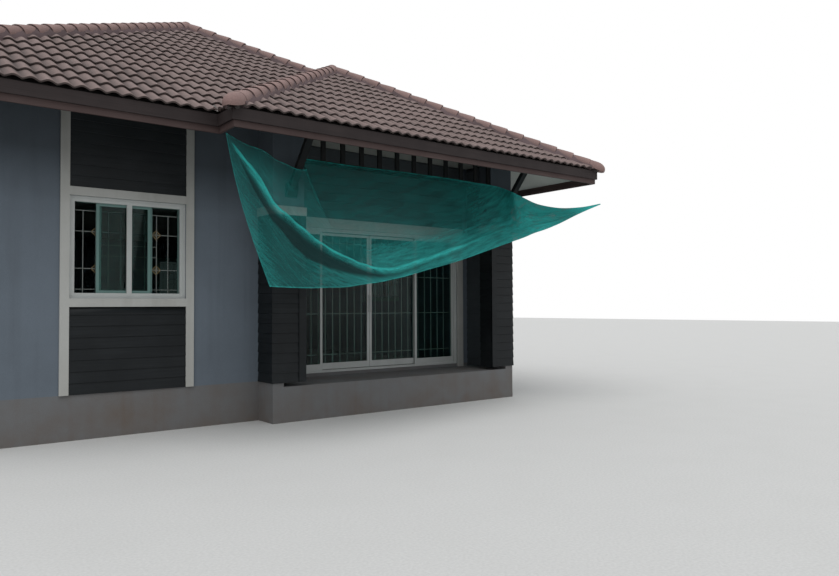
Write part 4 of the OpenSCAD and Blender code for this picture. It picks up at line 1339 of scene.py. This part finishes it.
def net_place(s, f):
    """A point of the net with its folds, how dense it is, how much painted light it gets, and its fold
    distance.
    """
    point = smooth_net(s, f)
    tall = (between(NET_TOP, s) - between(NET_LOW, s)).length
    away = to_crease(point)
    below = (f - line_at(CREASE, s)) * tall
    # crease marks the fold, for its ridge and for a painted highlight along it.
    crease = math.exp(-(away / 0.055) ** 2) * (1 - ramp(s, 0.5, 0.75)) * ramp(s, 0.0, 0.03)
    soft = 0.10 + 0.26 * ramp(s, 0.18, 0.30)
    past_open = (f - line_at(OPEN_ABOVE, s)) * tall + 0.05 * ripple(s, f, 14, 5, 8.0)
    opened = 1 - ramp(past_open, -0.02, soft)
    # Painted shadow under the crease, fading towards the far end.
    shadow = ramp(below, 0.03, 0.09) * (1 - ramp((f - line_at(SHADOW, s)) * tall, -0.04, 0.10))
    shadow *= 1 - 0.8 * ramp(s, 0.48, 0.62)
    tip = ramp(s, 0.55, 0.72)
    free_edge = (1 - ramp(s, 0.0, 0.05)) * ramp(f, 0.1, 0.9)
    hem = 1 - ramp(min(f * tall, (1 - f) * tall, s * 7.0), 0.012, 0.022)
    left_low = (1 - ramp(s, 0.05, 0.40)) * ramp(below, 0.0, 0.1)
    dense = 0.90 - 0.40 * opened * (1 - tip) - 0.12 * left_low + 0.16 * shadow + 0.12 * tip
    dense = max(dense, 0.97 * crease, 0.97 * hem)
    # light is painted light: a painted highlight on the crease, the hem and the free edge, painted
    # shade under the crease and low at the left, and more painted light towards the tip.
    light = 0.42 - 0.03 * opened - 0.40 * shadow + 0.60 * ramp(s, 0.6, 0.9) + 0.24 * free_edge
    light = max(light - 0.24 * left_low, 0.88 * crease, 0.66 * hem, 0.0)
    fold = 0.040 * crease
    fold += 0.008 * math.sin(2 * math.pi * away / 0.14) * math.exp(-away / 0.35)
    fold += 0.007 * math.sin(96 * s + 4 * f) * (1 - f) ** 1.5
    fold += 0.024 * ripple(s, f, 9, 4, 2.0) + 0.010 * ripple(s, f, 34, 13, 5.0)
    fold *= min(1.0, 6 * f * (1 - f) + 0.15) * min(1.0, 8 * s * (1 - s) + 0.05)
    return point + FOLD_OUT * fold, dense, light, below


def make_net():
    """The net as a grid, with its cut pattern as a UV map."""
    wide = NET_ACROSS + 1
    cut = [(i / NET_ACROSS, j / NET_DOWN) for j in range(NET_DOWN + 1) for i in range(wide)]
    places = [net_place(s, f) for s, f in cut]
    faces = [
        (a, a + wide, a + wide + 1, a + 1)
        for j in range(NET_DOWN) for a in range(j * wide, j * wide + NET_ACROSS)]
    net = new_piece(
        "shade_net_cloth", ([place[0] for place in places], faces), make_net_material(), 180)
    layer = net.data.uv_layers.new(name="cut")
    for loop in net.data.loops:
        layer.data[loop.index].uv = cut[loop.vertex_index]
    for number, name in enumerate(("dense", "light", "below"), start=1):
        store(net, name, [place[number] for place in places])
    return net


# %% [markdown]
# ## Yarn and holes
# The holes between the yarns are too small to model. Alpha stands for them, and
# streaks along the crease change it and the colour a little. The colour runs
# from a shaded teal to a lit teal by the painted light stored on the mesh.


# %% Net material
def make_net_material():
    """Green yarn, partly open: alpha stands for the holes between the yarns."""
    material, make, shader = new_material("shade_net", shine=0.08)
    uv = make.first("ShaderNodeUVMap", uv_map="cut")
    dense, light, below = make.stored("dense", "light", "below")
    along = make.joined(make.times(make.split(uv)[0], 34.0), make.times(below, 17.0))
    streak = make.noise(along, 1.0, 6.0, 0.62)
    knit = make.noise(make.stretched(uv, (420.0, 160.0, 1.0)), 1.0, 2.0)
    uneven = make.minus(make.plus(streak, make.times(knit, 0.6)), 0.8)
    # share is the stored painted light, streaked along the folds.
    share = make.times(light, make.plus(make.times(uneven, 2.2), 1.0), clamp=True)
    make.fill(shader, {
        # Painted shade and light: a dark shaded teal and a bright lit teal, mixed by share.
        "Base Color": make.mix(share, (0.005, 0.025, 0.025), (0.030, 0.360, 0.335)),
        "Alpha": make.plus(dense, make.times(uneven, 0.35), clamp=True),
        "Roughness": 0.7, "Normal": make.bump(streak, 0.003)})
    return material


net = make_net()
finish_piece(net, replaces=["shade_net"])

# %% [markdown]
# ## Floor and light
# The house stands on a plain pale floor under an even sky with one soft sun.
# The sky lights the house at a plain level, and only what the camera, a mirror
# or glass sees of it is white.

# %% Floor
floor_finish = painted(
    "pale_floor", (0.62, 0.62, 0.61), dirt=(0.5, 0.5, 0.48), patches=0.1, streaks=0.0,
    grain=0.02, depth=0.0002, roughness=0.9)
FLOOR_HALF = 60
corners = [(x * FLOOR_HALF, y * FLOOR_HALF, 0) for x, y in ((-1, -1), (1, -1), (1, 1), (-1, 1))]
ground = new_piece("pale_ground", (corners, [(0, 1, 2, 3)]), floor_finish)

# %% Sky and sun
SKY_STRENGTH = 0.60
SUN_STRENGTH = 1.5
world = bpy.data.worlds.new("even_sky")
scene.world = world
world.use_nodes = True
world.node_tree.nodes.clear()
sky = Recipe(world.node_tree)
rays = sky.node("ShaderNodeLightPath").outputs
seen = sky.plus(rays["Is Camera Ray"], rays["Is Glossy Ray"])
seen = sky.plus(seen, rays["Is Transmission Ray"], clamp=True)
light = sky.first("ShaderNodeBackground", {"Color": (0.96, 0.98, 1.0), "Strength": SKY_STRENGTH})
white = sky.first("ShaderNodeBackground", {"Color": (1.0, 1.0, 1.0), "Strength": 1.0})
both = sky.first("ShaderNodeMixShader", {0: seen, 1: light, 2: white})
sky.node("ShaderNodeOutputWorld", {"Surface": both})

sun = bpy.data.objects.new("soft_sun", bpy.data.lights.new("soft_sun", "SUN"))
scene.collection.objects.link(sun)
sun.data.energy = SUN_STRENGTH
sun.data.angle = math.radians(60)
sun.rotation_euler = (math.radians(24), math.radians(-10), math.radians(-20))
